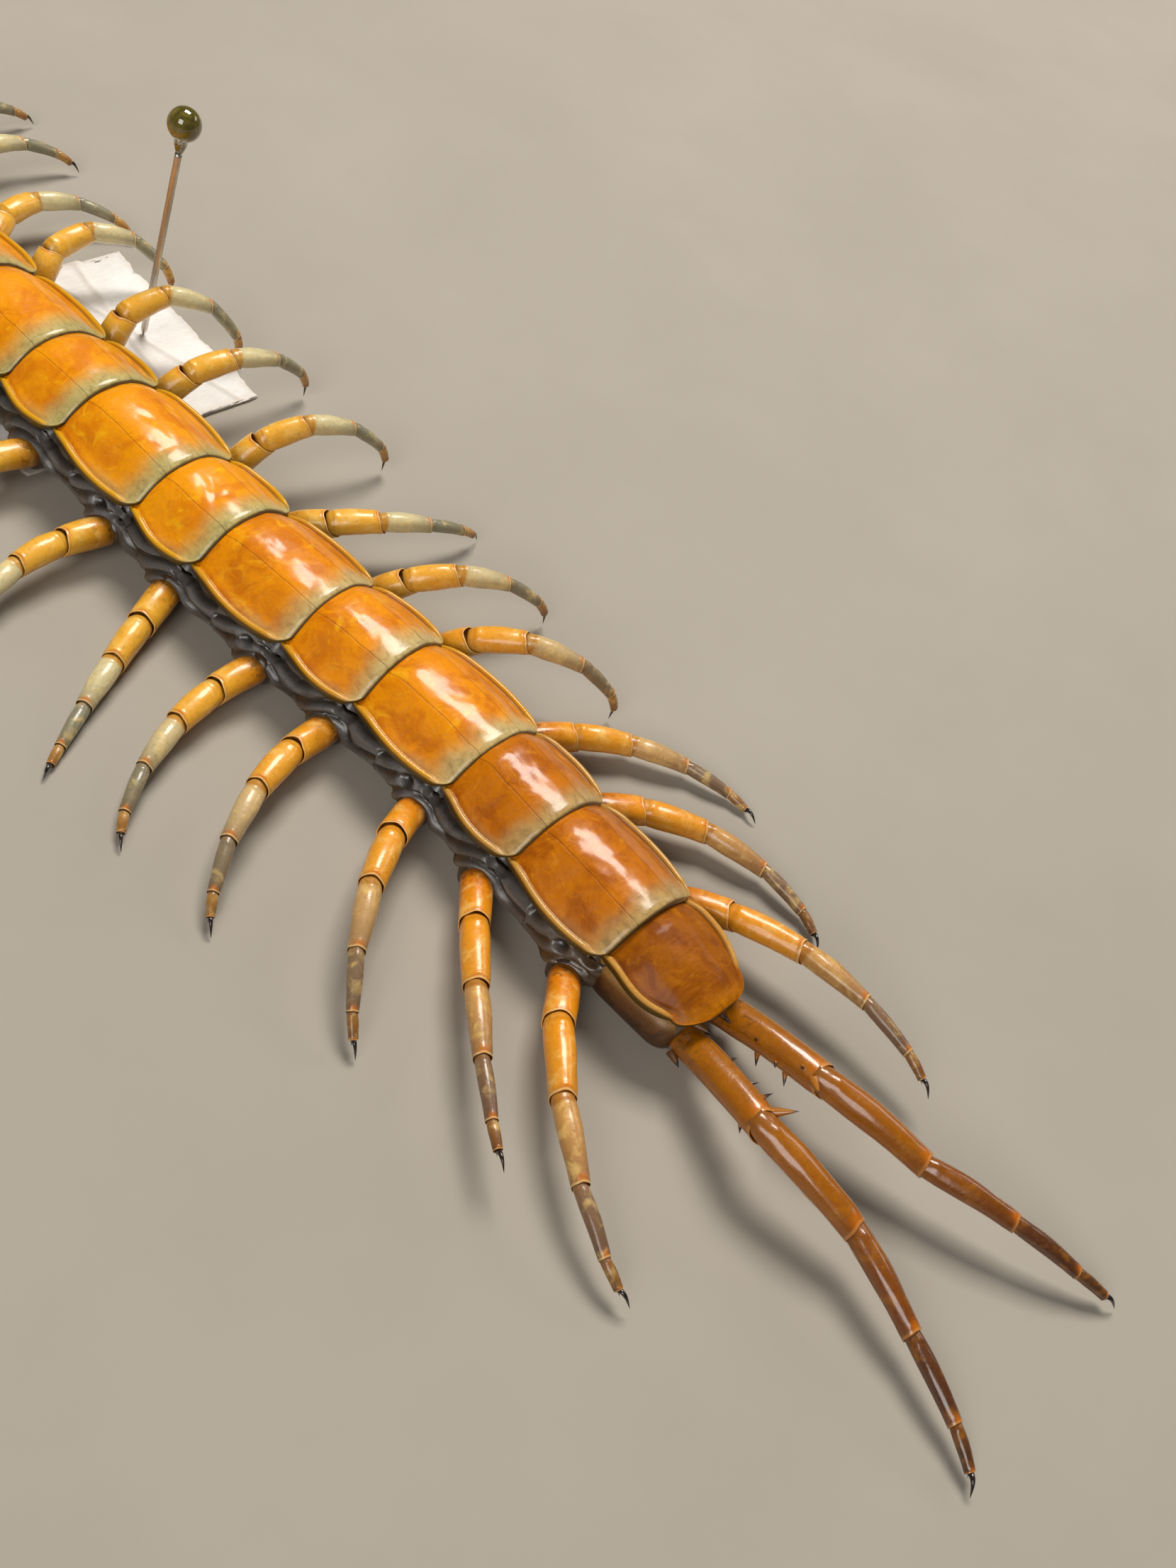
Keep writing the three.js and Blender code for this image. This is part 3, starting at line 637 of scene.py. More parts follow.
SHELL_FRONT = tergite_material(
    "tergite_front", (244, 155, 0), (226, 130, 0), (253, 188, 10), (194, 176, 110), (216, 156, 14), 0.36)
SHELL_MIDDLE = tergite_material(
    "tergite_middle", (238, 145, 0), (212, 118, 0), (248, 178, 22), (204, 178, 116), (210, 148, 28), 0.34)
SHELL_REAR = tergite_material(
    "tergite_rear", (200, 113, 0), (168, 86, 0), (222, 137, 12), (190, 156, 96), (194, 142, 58), 0.32)
SHELL_LAST = tergite_material(
    "tergite_last", (160, 88, 0), (132, 66, 0), (182, 108, 2), (196, 118, 2), (196, 142, 62), 0.44, 0.12)
LEG = leg_material(
    "leg",
    ((0.0, (96, 62, 18)), (0.05, (214, 140, 24)), (0.13, (244, 180, 54)), (0.32, (240, 178, 62)),
     (0.338, (212, 154, 60)), (0.345, (216, 200, 150)), (0.42, (212, 198, 150)), (0.49, (170, 160, 124)),
     (0.505, (132, 130, 106)), (0.62, (140, 132, 104)), (0.665, (118, 104, 74)), (0.675, (190, 142, 70)),
     (0.80, (150, 98, 40)), (0.87, (50, 34, 22))),
    ((0.0, (84, 50, 10)), (0.05, (220, 124, 2)), (0.15, (240, 152, 14)), (0.32, (226, 150, 40)),
     (0.338, (180, 118, 44)), (0.345, (206, 152, 82)), (0.49, (160, 116, 70)), (0.505, (134, 102, 72)),
     (0.66, (112, 82, 62)), (0.675, (146, 100, 50)), (0.80, (120, 76, 34)), (0.87, (36, 24, 18))),
    (255, 218, 130), (240, 200, 130), 0.28, 0.5)
LAST_LEG = leg_material(
    "last_leg",
    ((0.0, (120, 50, 8)), (0.9, (60, 30, 20))),
    ((0.0, (130, 68, 0)), (0.05, (162, 94, 0)), (0.30, (156, 88, 0)), (0.34, (134, 72, 2)),
     (0.49, (116, 60, 8)), (0.51, (94, 50, 18)), (0.66, (80, 44, 22)), (0.675, (94, 56, 22)),
     (0.83, (70, 40, 20)), (0.9, (32, 22, 18))),
    (182, 114, 8), (206, 142, 70), 0.24, 0.8)
FLESH = flesh_material()
STERNITE = shell_material("sternite", (186, 132, 54), (152, 94, 34), (214, 168, 96), 0.34, 0.3)
HEAD_SHELL = shell_material("head_shell", (168, 68, 14), (128, 44, 8), (206, 128, 56), 0.26, 0.5)
TAIL_SHELL = shell_material("tail_shell", (116, 70, 14), (78, 44, 8), (206, 152, 76), 0.42, 0.15)
CLAW = small_material("claw", (26, 18, 15), (50, 30, 18), 0.2, Coat_Weight=0.6, Coat_Roughness=0.1)
EYE = small_material("eye", (12, 10, 10), (24, 20, 18), 0.06, Coat_Weight=1.0, Coat_Roughness=0.03)
ANTENNA = antenna_material()
BEAD = bead_material()
STEEL = steel_material()
PAPER = paper_material()


# Tergites

PLATE_THICKNESS = 0.36
SUTURE_SHARE = 0.36
DOME_DROP = 3.55
CREASE_DROP = 0.6
LAST_DOME_DROP = 2.9
RIM_RADIUS = 0.27
CORNER_RADIUS = 1.35
PLATE_ROWS = 76
PLATE_COLUMNS = 91
PLATE_TUCK = 0.9
LAST_WIDEST = 0.35
LAST_SIDE_END = 0.78
LAST_END = 1.006
LAST_NARROWING = 0.24
LAST_SINK = 0.45
LAST_FALL = 1.7
UNDER_COLUMNS = 25
DENTS = 9
DENT_SEED = 100
RIM_PROFILE = np.array([
    (-0.87, 0.5), (-0.62, 0.79), (-0.28, 0.96), (0.1, 0.99), (0.44, 0.9), (0.72, 0.69), (0.91, 0.41),
    (1.0, 0.05), (1.02, -0.5), (0.98, -1.2), (0.86, -1.9), (0.6, -2.25), (0.2, -2.1),
])
PLATE_LOOKS = [(15, SHELL_FRONT), (18, SHELL_MIDDLE), (20, SHELL_REAR), (LAST, SHELL_LAST)]

# Distance that keeps the dark lines off a surface, and what a shell has where nothing else is said
FAR = 9.0
SHELL_VALUES = {"lip": 0, "dark": 0, "point": 0, "off": FAR}


def half_width(k):
    return float(keyed(HALF_WIDTHS, k))


def plate_width(k, v):
    """Half width of a plate at a share v of its length from the front."""
    v = np.clip(v, 0, 1)
    shoulder = 0.07 * (1 - arc(1 - v / 0.16))
    if k == LAST:
        ahead = 0.1 * (1 - v / LAST_WIDEST) ** 2
        behind = LAST_NARROWING * ((v - LAST_WIDEST) / (LAST_SIDE_END - LAST_WIDEST)) ** 2
        narrowing = np.where(v < LAST_WIDEST, ahead, behind)
        end = arc((v - LAST_SIDE_END) / (LAST_END - LAST_SIDE_END))
        return half_width(k) * (1 - shoulder - np.minimum(narrowing, LAST_NARROWING)) * end
    barrel = 0.15 * ((v - 0.52) / 0.5) ** 2
    corner = 0.16 * (1 - arc(1 - (1 - v) * TERGITE_LENGTHS[k] / CORNER_RADIUS))
    return half_width(k) * (1.02 - barrel - shoulder - corner)


def plate_top(k, v, right):
    """Height of a plate's upper surface, arched, flatter at its rims and creased at its sutures."""
    share = np.abs(right) / half_width(k)
    share = share - 0.12 * np.clip((share - 0.7) / 0.3, 0, 1.2) ** 2
    sink = (1.0 if k > 1 else 0.3) * np.clip(1 - v / 0.22, 0, 1) ** 2 + 0.08 * smooth(v, 0.6, 1)
    crown = RIM_HEIGHT + ARCH_HEIGHT
    if k == LAST:
        fall = LAST_FALL * np.clip(v, 0, 1) ** 2.2
        return crown - LAST_SINK - fall - LAST_DOME_DROP * share ** ARCH_POWER - sink
    crease = CREASE_DROP * np.clip(share - SUTURE_SHARE, 0, 1)
    return crown - DOME_DROP * share ** ARCH_POWER - crease - sink


def plate_dents(k, station, right):
    """A few shallow dents and low ridges, different on each plate."""
    random = np.random.default_rng(DENT_SEED + k)
    total = np.zeros(np.broadcast(station, right).shape)
    for _ in range(DENTS):
        s = FRONT[k] - random.uniform(0.2, 0.85) * TERGITE_LENGTHS[k]
        r = random.uniform(-0.8, 0.8) * half_width(k)
        turn = random.uniform(0, math.pi)
        long, short = random.uniform(1.0, 2.2), random.uniform(0.4, 0.8)
        a = (station - s) * math.cos(turn) + (right - r) * math.sin(turn)
        b = (right - r) * math.cos(turn) - (station - s) * math.sin(turn)
        total += random.uniform(-0.09, 0.06) * np.exp(-(a / long) ** 2 - (b / short) ** 2)
    return total


def build_tergite(k):
    """One plate: arched top, a round bead along each side, and an underside."""
    length = TERGITE_LENGTHS[k]
    v = eased(PLATE_ROWS)
    rear = (1 - v) * length
    width = plate_width(k, v)
    rim_end = 1.4 if k == LAST else 0.3
    rim = RIM_RADIUS * (0.4 + 0.6 * smooth(rear, rim_end, rim_end + 1.4)) * (0.6 + 0.4 * smooth(v, 0.02, 0.1))
    station = FRONT[k] + PLATE_TUCK * (1 - v) ** 8 - v * length
    roll = PLATE_THICKNESS * (1 - arc(1 - rear / 0.55))
    if k == 1:
        roll = roll + PLATE_THICKNESS * (1 - arc(1 - v * length / 0.6))

    right = np.linspace(-1, 1, PLATE_COLUMNS) * (width - 2 * rim)
    flat = np.stack(np.broadcast_arrays(station, right, 0.0), axis=-1)
    side = width - np.abs(right)
    inward = smooth(side, 0.6, 1.5) * smooth(rear, 0.5, 1.6)
    lumps = 0.05 * layered(flat, (2.6, 1.8, 1), 7 * k, 3) + plate_dents(k, station, right)
    # The groove inside each rim is sunk into the surface and is also darkened in the material as painted
    # shade.
    groove = hill(side, 2 * RIM_RADIUS + 0.06, 0.13) * smooth(rear, 0.9, 2.2) * smooth(v, 0.04, 0.16)
    height = plate_top(k, v, right) - roll + lumps * inward - 0.1 * groove
    centre_line = 0 if k == LAST else SUTURE_SHARE * half_width(k) * (1 + 0.05 * (1 - v))
    off = np.abs(right) - centre_line + 0.05 * noise(flat, 1.8, k) + FAR * (k == LAST)
    ragged = 0.45 * layered(flat, (2.4, 1.8, 1), 60 + k, 3)
    band_rear = 1 - smooth(rear + ragged, 0.2, 2.7)
    if k == LAST:
        band_rear = 0.8 * (1 - smooth(rear + ragged, 0.2, 1.8))
    band_side = 0.8 * (1 - smooth(side + 0.5 * ragged, 0.3, 1.4)) * smooth(v, 0.25, 0.85) * (k < LAST)

    beside, above = RIM_PROFILE.T
    bead_right = width - rim + rim * beside
    bead_height = plate_top(k, v, width - rim) - roll + 0.03 + rim * above
    # outer: the lower, outward part of each bead, where painted shade goes.
    outer = np.broadcast_to(smooth(-above, -0.75, 0.1), bead_right.shape)
    gold = smooth(rear, rim_end, rim_end + 1.0) * (1 - outer)
    under_right = np.linspace(0.9, -0.9, UNDER_COLUMNS) * width
    under_height = plate_top(k, v, under_right) - PLATE_THICKNESS - 0.02
    columns = (len(RIM_PROFILE), PLATE_COLUMNS, len(RIM_PROFILE), UNDER_COLUMNS)

    def across(*parts):
        """Values of the left bead, the top, the right bead and the underside, side by side."""
        spread = [np.broadcast_to(part, (PLATE_ROWS, count)) for part, count in zip(parts, columns)]
        return np.concatenate(spread, axis=1)

    all_right = across(-bead_right[:, ::-1], right, bead_right, under_right)
    all_height = across(bead_height[:, ::-1], height, bead_height, under_height)
    bow = 0.12 * (1 - (all_right / half_width(k)) ** 2) * smooth(v, 0.8, 1)
    shape = Shape()
    shape.grid(
        body_point(station - bow, all_right, all_height),
        rear=rear, off=across(FAR, off, FAR, FAR),
        band=across(band_rear[:, :1], np.maximum(band_rear, band_side), band_rear[:, -1:], 1),
        rim=across(gold[:, ::-1], 0, gold, 0), outer=across(outer[:, ::-1], 0, outer, 1),
        groove=across(0, groove, 0, 0),
    )
    material = next(look for last, look in PLATE_LOOKS if k <= last)
    nodes = [node for node, (first, last) in zip(TRUNK_NODES, TRUNK_RANGES) if first <= k <= last] or ["tail"]
    make_piece(f"tergite_{k:02d}", shape, material, nodes)


# Skin of the trunk, plates of the belly and flanks of the last segment

SKIN_STEP = 0.22
SKIN_SIDE_COLUMNS = 62
SPIRACLE_HEIGHT = 4.05
STERNITE_LINE = 1.45
COXOPLEURON_SPINES = [
    ((3.3, 0.5, 2.3), (3.75, -0.75, 2.35), 0.4),
    ((1.2, 1.2, 3.6), (0.85, -0.75, 4.1), 0.5),
]
FOLD_SPACING = 1.25
EDGES = np.array([REAR[k] for k in REAR] + [FRONT[1]])
LEG_ROOTS = np.array(list(ROOT.values()))
SKIN_KEYS = [
    (0.00, 7.40), (0.45, 7.10), (0.70, 6.10), (0.84, 5.00), (0.88, 4.60), (0.95, 4.20), (0.975, 3.6),
    (0.965, 3.0), (0.945, 2.45), (0.92, 1.85), (0.84, 1.25), (0.72, 0.75), (0.62, 0.42), (0.3, 0.35),
    (0.0, 0.35),
]
SKIN_SPACING = [0, 0.08, 0.14, 0.2, 0.25, 0.34, 0.43, 0.52, 0.6, 0.69, 0.77, 0.84, 0.89, 0.95, 1]


def ceiling(station, right):
    """Height that the skin keeps under so that the plates cover it, rising softly between them."""
    height = np.full(station.shape, RIM_HEIGHT + ARCH_HEIGHT)
    for k in range(1, LAST + 1):
        v = (FRONT[k] - station) / TERGITE_LENGTHS[k]
        ahead = np.clip(station - FRONT[k] - PLATE_TUCK, 0, None)
        behind = np.clip(REAR[k] - station, 0, None) * (k < LAST)
        height = np.minimum(height, plate_top(k, np.clip(v, 0, 1), right) + 0.7 * ahead + 0.7 * behind)
    return height - PLATE_THICKNESS - 0.3


def nearest(station, places):
    """Signed distance ahead of the nearest of some places."""
    gaps = station[..., None] - places
    pick = np.abs(gaps).argmin(-1)
    return np.take_along_axis(gaps, pick[..., None], -1)[..., 0]


def build_skin():
    """Skin from neck to tail with long folds on the flanks that arch over the roots of the legs."""
    stations = np.arange(HEAD_STATION + 0.8, REAR[LAST] + 0.9, -SKIN_STEP)
    share = np.linspace(0, 1, SKIN_SIDE_COLUMNS)
    x, z = (rounded(list(zip(SKIN_SPACING, column)), share, 0.03) for column in zip(*SKIN_KEYS))
    station, across = np.meshgrid(stations, np.concatenate([x, -x[-2:0:-1]]), indexing="ij")
    height = np.broadcast_to(np.concatenate([z, z[-2:0:-1]]), station.shape)
    side = np.sign(across)
    order = sorted(FRONT, reverse=True)
    width = np.interp(station, [(FRONT[k] + REAR[k]) / 2 for k in order], [half_width(k) for k in order])
    from_edge = np.abs(nearest(station, EDGES))
    width = width - 0.25 * hill(from_edge, 0, 1.2)
    flank = smooth(height, 0.9, 1.7) * (1 - smooth(height, 4.6, 5.1))

    ahead = nearest(station, LEG_ROOTS)
    from_root = np.hypot(ahead * 0.8, height - 2.2)
    near_root = np.exp(-(from_root / 2.5) ** 2)
    flat = np.stack([station, height * 1.6, across * 40], axis=-1)
    wander = 0.42 * layered(flat, (6.5, 3.0, 9.0), 5, 2)
    lie = mix(height + 0.2 * ahead, from_root * 0.95, near_root) + wander
    ridge = np.abs(np.sin(math.pi * lie / FOLD_SPACING)) ** 0.8
    small = np.abs(np.sin(math.pi * (lie * 2 / FOLD_SPACING + 0.6 * wander)))
    folds = 0.5 * (ridge - 0.45) + 0.05 * small + 0.25 * hill(height, 2.8, 1.0)
    domes = 0.85 * np.exp(-((ahead - 1.4) / 1.5) ** 2 - ((height - 2.6) / 1.2) ** 2)
    domes = domes + 0.45 * np.exp(-((ahead + 2.0) / 1.1) ** 2 - ((height - 2.4) / 1.2) ** 2)
    spiracles = np.array([REAR[k] + 0.3 * TERGITE_LENGTHS[k] for k in SPIRACLES])
    oval = np.hypot(nearest(station, spiracles) / 0.85, (height - SPIRACLE_HEIGHT) / 0.42)
    calm = 1 - np.exp(-(oval / 1.5) ** 4)
    slit = 1 - smooth(oval, 0.35, 0.85)
    trunk = smooth(station, REAR[LAST - 1] - 1.2, REAR[LAST - 1] + 0.8)
    out = (folds * calm + domes) * trunk + 0.16 * hill(oval, 1.1, 0.3) - 0.3 * slit

    tail_in = 0.7 + 0.3 * smooth(station, REAR[LAST - 1] - 1.8, REAR[LAST - 1] + 0.2)
    neck_in = 1 - 0.22 * smooth(station, FRONT[1] - 0.4, FRONT[1] + 0.6)
    right = (across * width + side * out * flank) * tail_in * neck_in
    height = height - 0.12 * flank * wander - 0.3 * hill(from_edge, 0, 0.9) * smooth(height, 4.9, 5.6)
    height = np.maximum(height + 0.35 * hill(from_edge, 0, 0.7) * (1 - smooth(height, 0.4, 1.4)), 0.3)
    height = np.minimum(height, ceiling(station, right))
    brown = np.exp(-((ahead - 1.5) / 1.5) ** 2 - ((height - 2.3) / 0.9) ** 2)
    brown = brown + 0.75 * (1 - smooth(station, REAR[LAST - 1] - 0.5, REAR[LAST - 2]))
    shape = Shape()
    shape.grid(
        body_point(station, right, height),
        # Fold level: painted highlight on the ridges and round the spiracles, painted shade in the valleys.
        fold=np.clip(ridge * 0.85 + 0.2 * small - 0.15 + 0.3 * hill(oval, 1.1, 0.3), 0, 1),
        plate=np.clip(brown * 0.9 + 0.9 * (1 - smooth(height, 0.5, 1.3)), 0, 0.9),
        # dark: painted shade under the rims, at the seams between segments and in the spiracle slits.
        dark=np.clip(smooth(height, 4.3, 4.9) * 0.8 + 0.3 * hill(from_edge, 0, 0.5) + slit, 0, 1),
    )
    make_piece("body_skin", shape, FLESH, TRUNK_NODES + ["tail"])


def build_sternites():
    """Flat shields of the belly with two fine lines each."""
    shape = Shape()
    for k in range(1, LAST + 1):
        length = TERGITE_LENGTHS[k] * (0.88 if k < LAST else 0.6)
        middle = (FRONT[k] + REAR[k]) / 2 + (0.8 if k == LAST else 0)
        v = eased(26, 0.02, 0.98)
        corner = 0.5 * (1 - arc(np.abs(v - 0.5) * 2) ** 0.5) + (0.35 * v ** 2 if k == LAST else 0.08 * v)
        width = half_width(k) * 0.6 * (1 - corner)
        u = np.linspace(-1, 1, 41)
        edge = np.maximum(np.abs(u), np.abs(v - 0.5) * 2)
        lower = 0.04 + 0.3 * smooth(edge, 0.86, 1.0) + 0.05 * hill(np.abs(u), 0.4, 0.05)
        buried = u[::-4]
        blank = np.ones((len(v), len(buried)))
        right = np.concatenate([u * width, buried * width * 0.96], axis=1)
        height = np.concatenate([lower, 0.6 * blank], axis=1)
        off = np.concatenate([np.abs(u * width) - STERNITE_LINE, FAR * blank], axis=1)
        shape.grid(body_point(middle + (0.5 - v) * length, right, height), off=off)
    make_piece("sternites", shape, STERNITE, TRUNK_NODES + ["tail"])


def build_coxopleura():
    """Two smooth plates that hold the last legs, each drawn out behind into a spined process."""
    for side, letter in SIDES:
        shape = Shape(**SHELL_VALUES)
        v = np.linspace(0, 1, 46)[:, None]
        outer = mix(4.8, 4.1, v ** 1.3) - 1.1 * (1 - arc(1 - v / 0.25)) - 1.5 * (1 - arc((v - 0.8) / 0.205))
        half = mix(1.9, 1.5, v)
        tall = mix(2.35, 1.75, v) * (1 - 0.45 * (1 - arc((v - 0.93) / 0.07)))
        turn = turns(48)
        right = outer - half + half * np.sign(np.cos(turn)) * np.abs(np.cos(turn)) ** 0.85
        height = mix(3.05, 2.75, v) + tall * np.sin(turn)
        station = FRONT[LAST] + 0.9 - v * (TERGITE_LENGTHS[LAST] + 0.1)
        ridge = hill(height, 4.5, 0.35) * (right > outer - half)
        shape.grid(body_point(station, side * right, np.maximum(height, 0.1)), lip=0.7 * ridge,
                   dark=np.clip(0.2 + 0.6 * (1 - smooth(height, 2.0, 4.0)), 0, 0.8))
        for foot, tip, radius in COXOPLEURON_SPINES:
            start, end = (
                body_point(REAR[LAST] + ahead, side * out, level) for out, ahead, level in (foot, tip))
            cone(shape, start, end, radius)
        make_piece(f"coxopleuron_{letter}", shape, TAIL_SHELL, ["tail"])


def cone(shape, start, end, radius, point_from=0.6, **values):
    """Tapered spine from a sunken foot to a dark tip."""
    t = np.linspace(0, 1, 14)
    path = start + (end - start) * t[:, None]
    radii = radius * np.clip(1 - t ** 1.4, 0.04, 1)
    shape.grid(tube(path, radii, 12), point=smooth(t, point_from, point_from + 0.2)[:, None], **values)


# Legs

ARTICLE_PROFILE = [
    (-0.14, 0.66), (-0.08, 0.83), (-0.03, 0.9), (0.03, 0.93), (0.1, 0.95), (0.2, 0.97), (0.35, 0.99),
    (0.5, 1.0), (0.65, 1.01), (0.78, 1.025), (0.87, 1.04), (0.925, 1.035), (0.955, 1.01), (0.968, 1.02),
    (0.985, 1.03), (0.996, 1.0), (0.99, 0.95), (0.965, 0.9), (0.91, 0.84), (0.84, 0.78),
]
PROFILE_LIP = 15
ARTICLE_ROWS = 40
JOINT_FIT = 0.8
LEG_SIDES = 28
ARTICLE_SLANTS = (1.7, 1.4, 1.0, 0.6, 0.5)


def article(shape, start, end, radii, index, seed):
    """One article: a sleeve with a thin, slanting lip, narrowed to fit the next article that stands in it."""
    radius = radii[index]
    narrowing = mix(1, radii[index + 1] / radius, JOINT_FIT) if index < 4 else 0.8
    walk = np.linspace(0, len(ARTICLE_PROFILE) - 1, ARTICLE_ROWS)
    t, r = (np.interp(walk, range(len(ARTICLE_PROFILE)), column) for column in zip(*ARTICLE_PROFILE))
    t[1:-1] = (t[:-2] + 2 * t[1:-1] + t[2:]) / 4
    r[1:-1] = (r[:-2] + 2 * r[1:-1] + r[2:]) / 4
    length = np.linalg.norm(end - start)
    ahead = (end - start) / length
    side = unit(np.cross(UP, ahead))
    up = np.cross(ahead, side)
    angle = turns(LEG_SIDES)
    above = np.exp(-((np.abs((angle + math.pi) % TAU - math.pi)) / 0.55) ** 2)
    far = smooth(t, 0.7, 0.98)[:, None]
    tilt = -0.16 * np.cos(angle) + 0.07 * np.cos(2 * angle) - 0.12 * above
    along = t[:, None] * length + far * tilt * radius * ARTICLE_SLANTS[index]
    bow = 0.03 * length * np.sin(np.clip(t, 0, 1) * math.pi)[:, None]
    around = (np.cos(angle) * radius * 2, np.sin(angle) * radius * 2)
    surface = np.stack(np.broadcast_arrays(along * 0.6, *around), axis=-1)
    lumps = 1 + 0.045 * layered(surface, 1.5, seed, 3) + 0.015 * np.cos(angle * 3 + seed)
    knee = 0.12 * hill(t, 0.05, 0.05)[:, None] * above + 0.08 * hill(t, 0.92, 0.05)[:, None] * above
    taper = mix(1, narrowing, smooth(t, 0.25, 1.0))[:, None]
    radial = (r[:, None] * lumps * taper + knee * (index > 0)) * radius
    points = (
        start + ahead * along[..., None]
        + side * (radial * np.sin(angle))[..., None]
        + up * (radial * 0.97 * np.cos(angle) + bow)[..., None]
    )
    inner = np.arange(ARTICLE_ROWS) > np.searchsorted(walk, PROFILE_LIP + 0.2)
    shown = ~inner
    shape.grid(
        points, run=(index + np.clip(t, 0, 1))[:, None],
        knee=(shown * hill(t, 0.97, 0.07))[:, None] * above,
        ring=(shown * np.maximum(0.3 * hill(t, 0.0, 0.03), 0.3 * hill(t, 0.957, 0.01)))[:, None],
        lip=(shown * hill(t, 0.98, 0.016))[:, None] * 0.6,
        # inside: painted shade on the sleeve's inner wall and on the base sunk into the article before it.
        inside=(0.85 * (inner + shown * np.clip(-t / 0.2, 0, 1)))[:, None],
    )


def spike(shape, foot, direction, length, radius, run, point_from=0.5):
    """Spine on a leg: its foot sunk in, its tip dark."""
    direction = unit(direction)
    cone(shape, foot - 0.25 * length * direction, foot + length * direction, radius, point_from,
         run=run, lip=0.25)


def hooked_path(base, tip, count, arch):
    """Path of a claw that curves down to its tip."""
    t = np.linspace(-0.25, 1, count)
    path = base + (tip - base) * t[:, None]
    path[:, 2] += arch * np.linalg.norm(tip - base) * np.sin(np.clip(t, 0, 1) ** 0.8 * math.pi)
    return t, path


def build_leg(name, joints, radii, behind, material, spines=()):
    shape = Shape(behind=behind, knee=0, ring=0, inside=0, point=0)
    for i in range(5):
        start = joints[i]
        if i == 0:
            start = joints[0] - 0.25 * radii[0] * unit(joints[1] - joints[0])
        seed = sum(ord(letter) * (j + 3) for j, letter in enumerate(name)) + 17 * i
        article(shape, start, joints[i + 1], radii, i, seed)
    for foot, direction, length, radius, dark_from in spines:
        spike(shape, foot, direction, length, radius, 0.5, dark_from)
    ahead = unit(joints[4] - joints[3])
    for index, size in ((4, 0.5), (3, 0.45)):
        foot = joints[index] - UP * radii[index] * 0.85 - ahead * 0.25
        if foot[2] > 0.5:
            spike(shape, foot, ahead - UP * 0.8, size, 0.1, index)
    make_piece(name, shape, material, [name])

    claw = Shape()
    base, tip = joints[5], joints[6]
    length = np.linalg.norm(tip - base)
    t, path = hooked_path(base, tip, 26, 0.26)
    body = np.clip(t, 0, 1)
    blunt = np.sqrt(np.clip(1 - body ** 4, 0.01, 1))
    claw.grid(tube(path, 0.72 * radii[5] * (1.05 - 0.8 * body) * blunt, 14))
    for side in (-1, 1):
        out = unit(np.cross(UP, tip - base)) * side
        thorn = np.linspace(-0.2, 1, 8)
        start = base + (tip - base) * 0.05 + out * radii[5] * 0.45
        line = start + (unit(tip - base) * 0.9 + out * 0.22) * (thorn * length * 0.22)[:, None]
        claw.grid(tube(line, 0.045 * np.clip(1 - thorn, 0.1, 1), 8))
    make_piece(name.replace("leg", "claw"), claw, CLAW, [name])


def build_legs():
    coxae = Shape()
    for k in range(1, LAST):
        for side, letter, poses in ((-1, "l", LEFT_POSES), (1, "r", RIGHT_POSES)):
            pose = poses[k - 1]
            joints = leg_joints(k, side, pose)
            name = f"leg_{letter}{k:02d}"
            build_leg(name, joints, LEG_RADII, k / (LAST - 1), LEG)
            direction = leg_direction(side, ROOT[k], pose[0], pose[2])
            t = np.linspace(-1, 0.08, 18)
            path = joints[0] + direction * (t * COXA_LENGTH)[:, None]
            radii = 1.45 * (0.6 + 0.4 * smooth(t, -0.9, -0.1)) * (1 - 0.22 * smooth(t, -0.06, 0.08))
            path[:, 2] = np.maximum(path[:, 2], radii + 0.15)
            rings = tube(path, radii, 28)
            rings = rings + 0.1 * layered(rings, (0.9, 0.9, 1.3), 400 + k, 2)[..., None] * [0.7, 0.7, 0.4]
            # The coxae take one mid-dark level of the painted fold shading.
            coxae.grid(rings, fold=0.3, plate=np.clip(0.7 * smooth(t, -0.6, -0.1), 0, 1)[:, None],
                       dark=hill(t, 0.04, 0.08)[:, None] * 0.9)
    make_piece("coxae", coxae, FLESH, TRUNK_NODES)


def build_last_legs():
    for side, letter in SIDES:
        joints = last_joints(side)
        ahead = unit(joints[1] - joints[0])
        inward = unit(np.cross(UP, ahead)) * side
        up = np.cross(ahead, inward) * side
        spines = []
        for share, turn, size in LAST_SPINES:
            out = up * math.cos(math.radians(turn)) - inward * math.sin(math.radians(turn))
            foot = mix(joints[0], joints[1], share) + out * LAST_RADII[0] * 0.85
            corner = size > 1.5
            spines.append((foot, out + ahead * (0.9 if corner else 0.55), 1.05 * size,
                           0.42 if corner else 0.24, 0.75 if corner else 0.45))
        buried = [joints[0] - ahead * 2.4] + joints[1:]
        name = f"leg_{letter}{LAST}"
        build_leg(name, buried, LAST_RADII, 1.0, LAST_LEG, spines)


# Head

HEAD_LENGTH = 10.6
HEAD_CROWN = [(0, 7.15), (0.9, 7.5), (2.6, 7.85), (5.6, 7.6), (8.3, 7.0), (9.7, 6.4), (10.6, 5.6)]
HEAD_UNDER = [(0, 3.7), (0.7, 3.3), (2.6, 3.1), (5.6, 3.1), (7.9, 3.3), (8.8, 4.35), (10.6, 4.65)]
HEAD_EDGE = 5.0
HEAD_SHELL_THICKNESS = 0.32
OCELLUS_RADIUS = 0.33
HEAD_ROWS = 90
HEAD_SIDES = 96
OCELLI = [(8.55, 5.5), (7.95, 5.4), (8.0, 6.05), (7.35, 5.9)]
FANG_PATH = [
    (4.35, 3.9, 1.5), (5.0, 6.0, 1.6), (4.75, 8.2, 1.65),
    (3.7, 10.0, 1.6), (2.2, 11.1, 1.4), (0.75, 11.5, 1.2),
]
FANG_RADII = [1.25, 1.35, 1.15, 0.75, 0.4, 0.07]
FANG_JOINTS = [2.2, 2.5, 2.85]
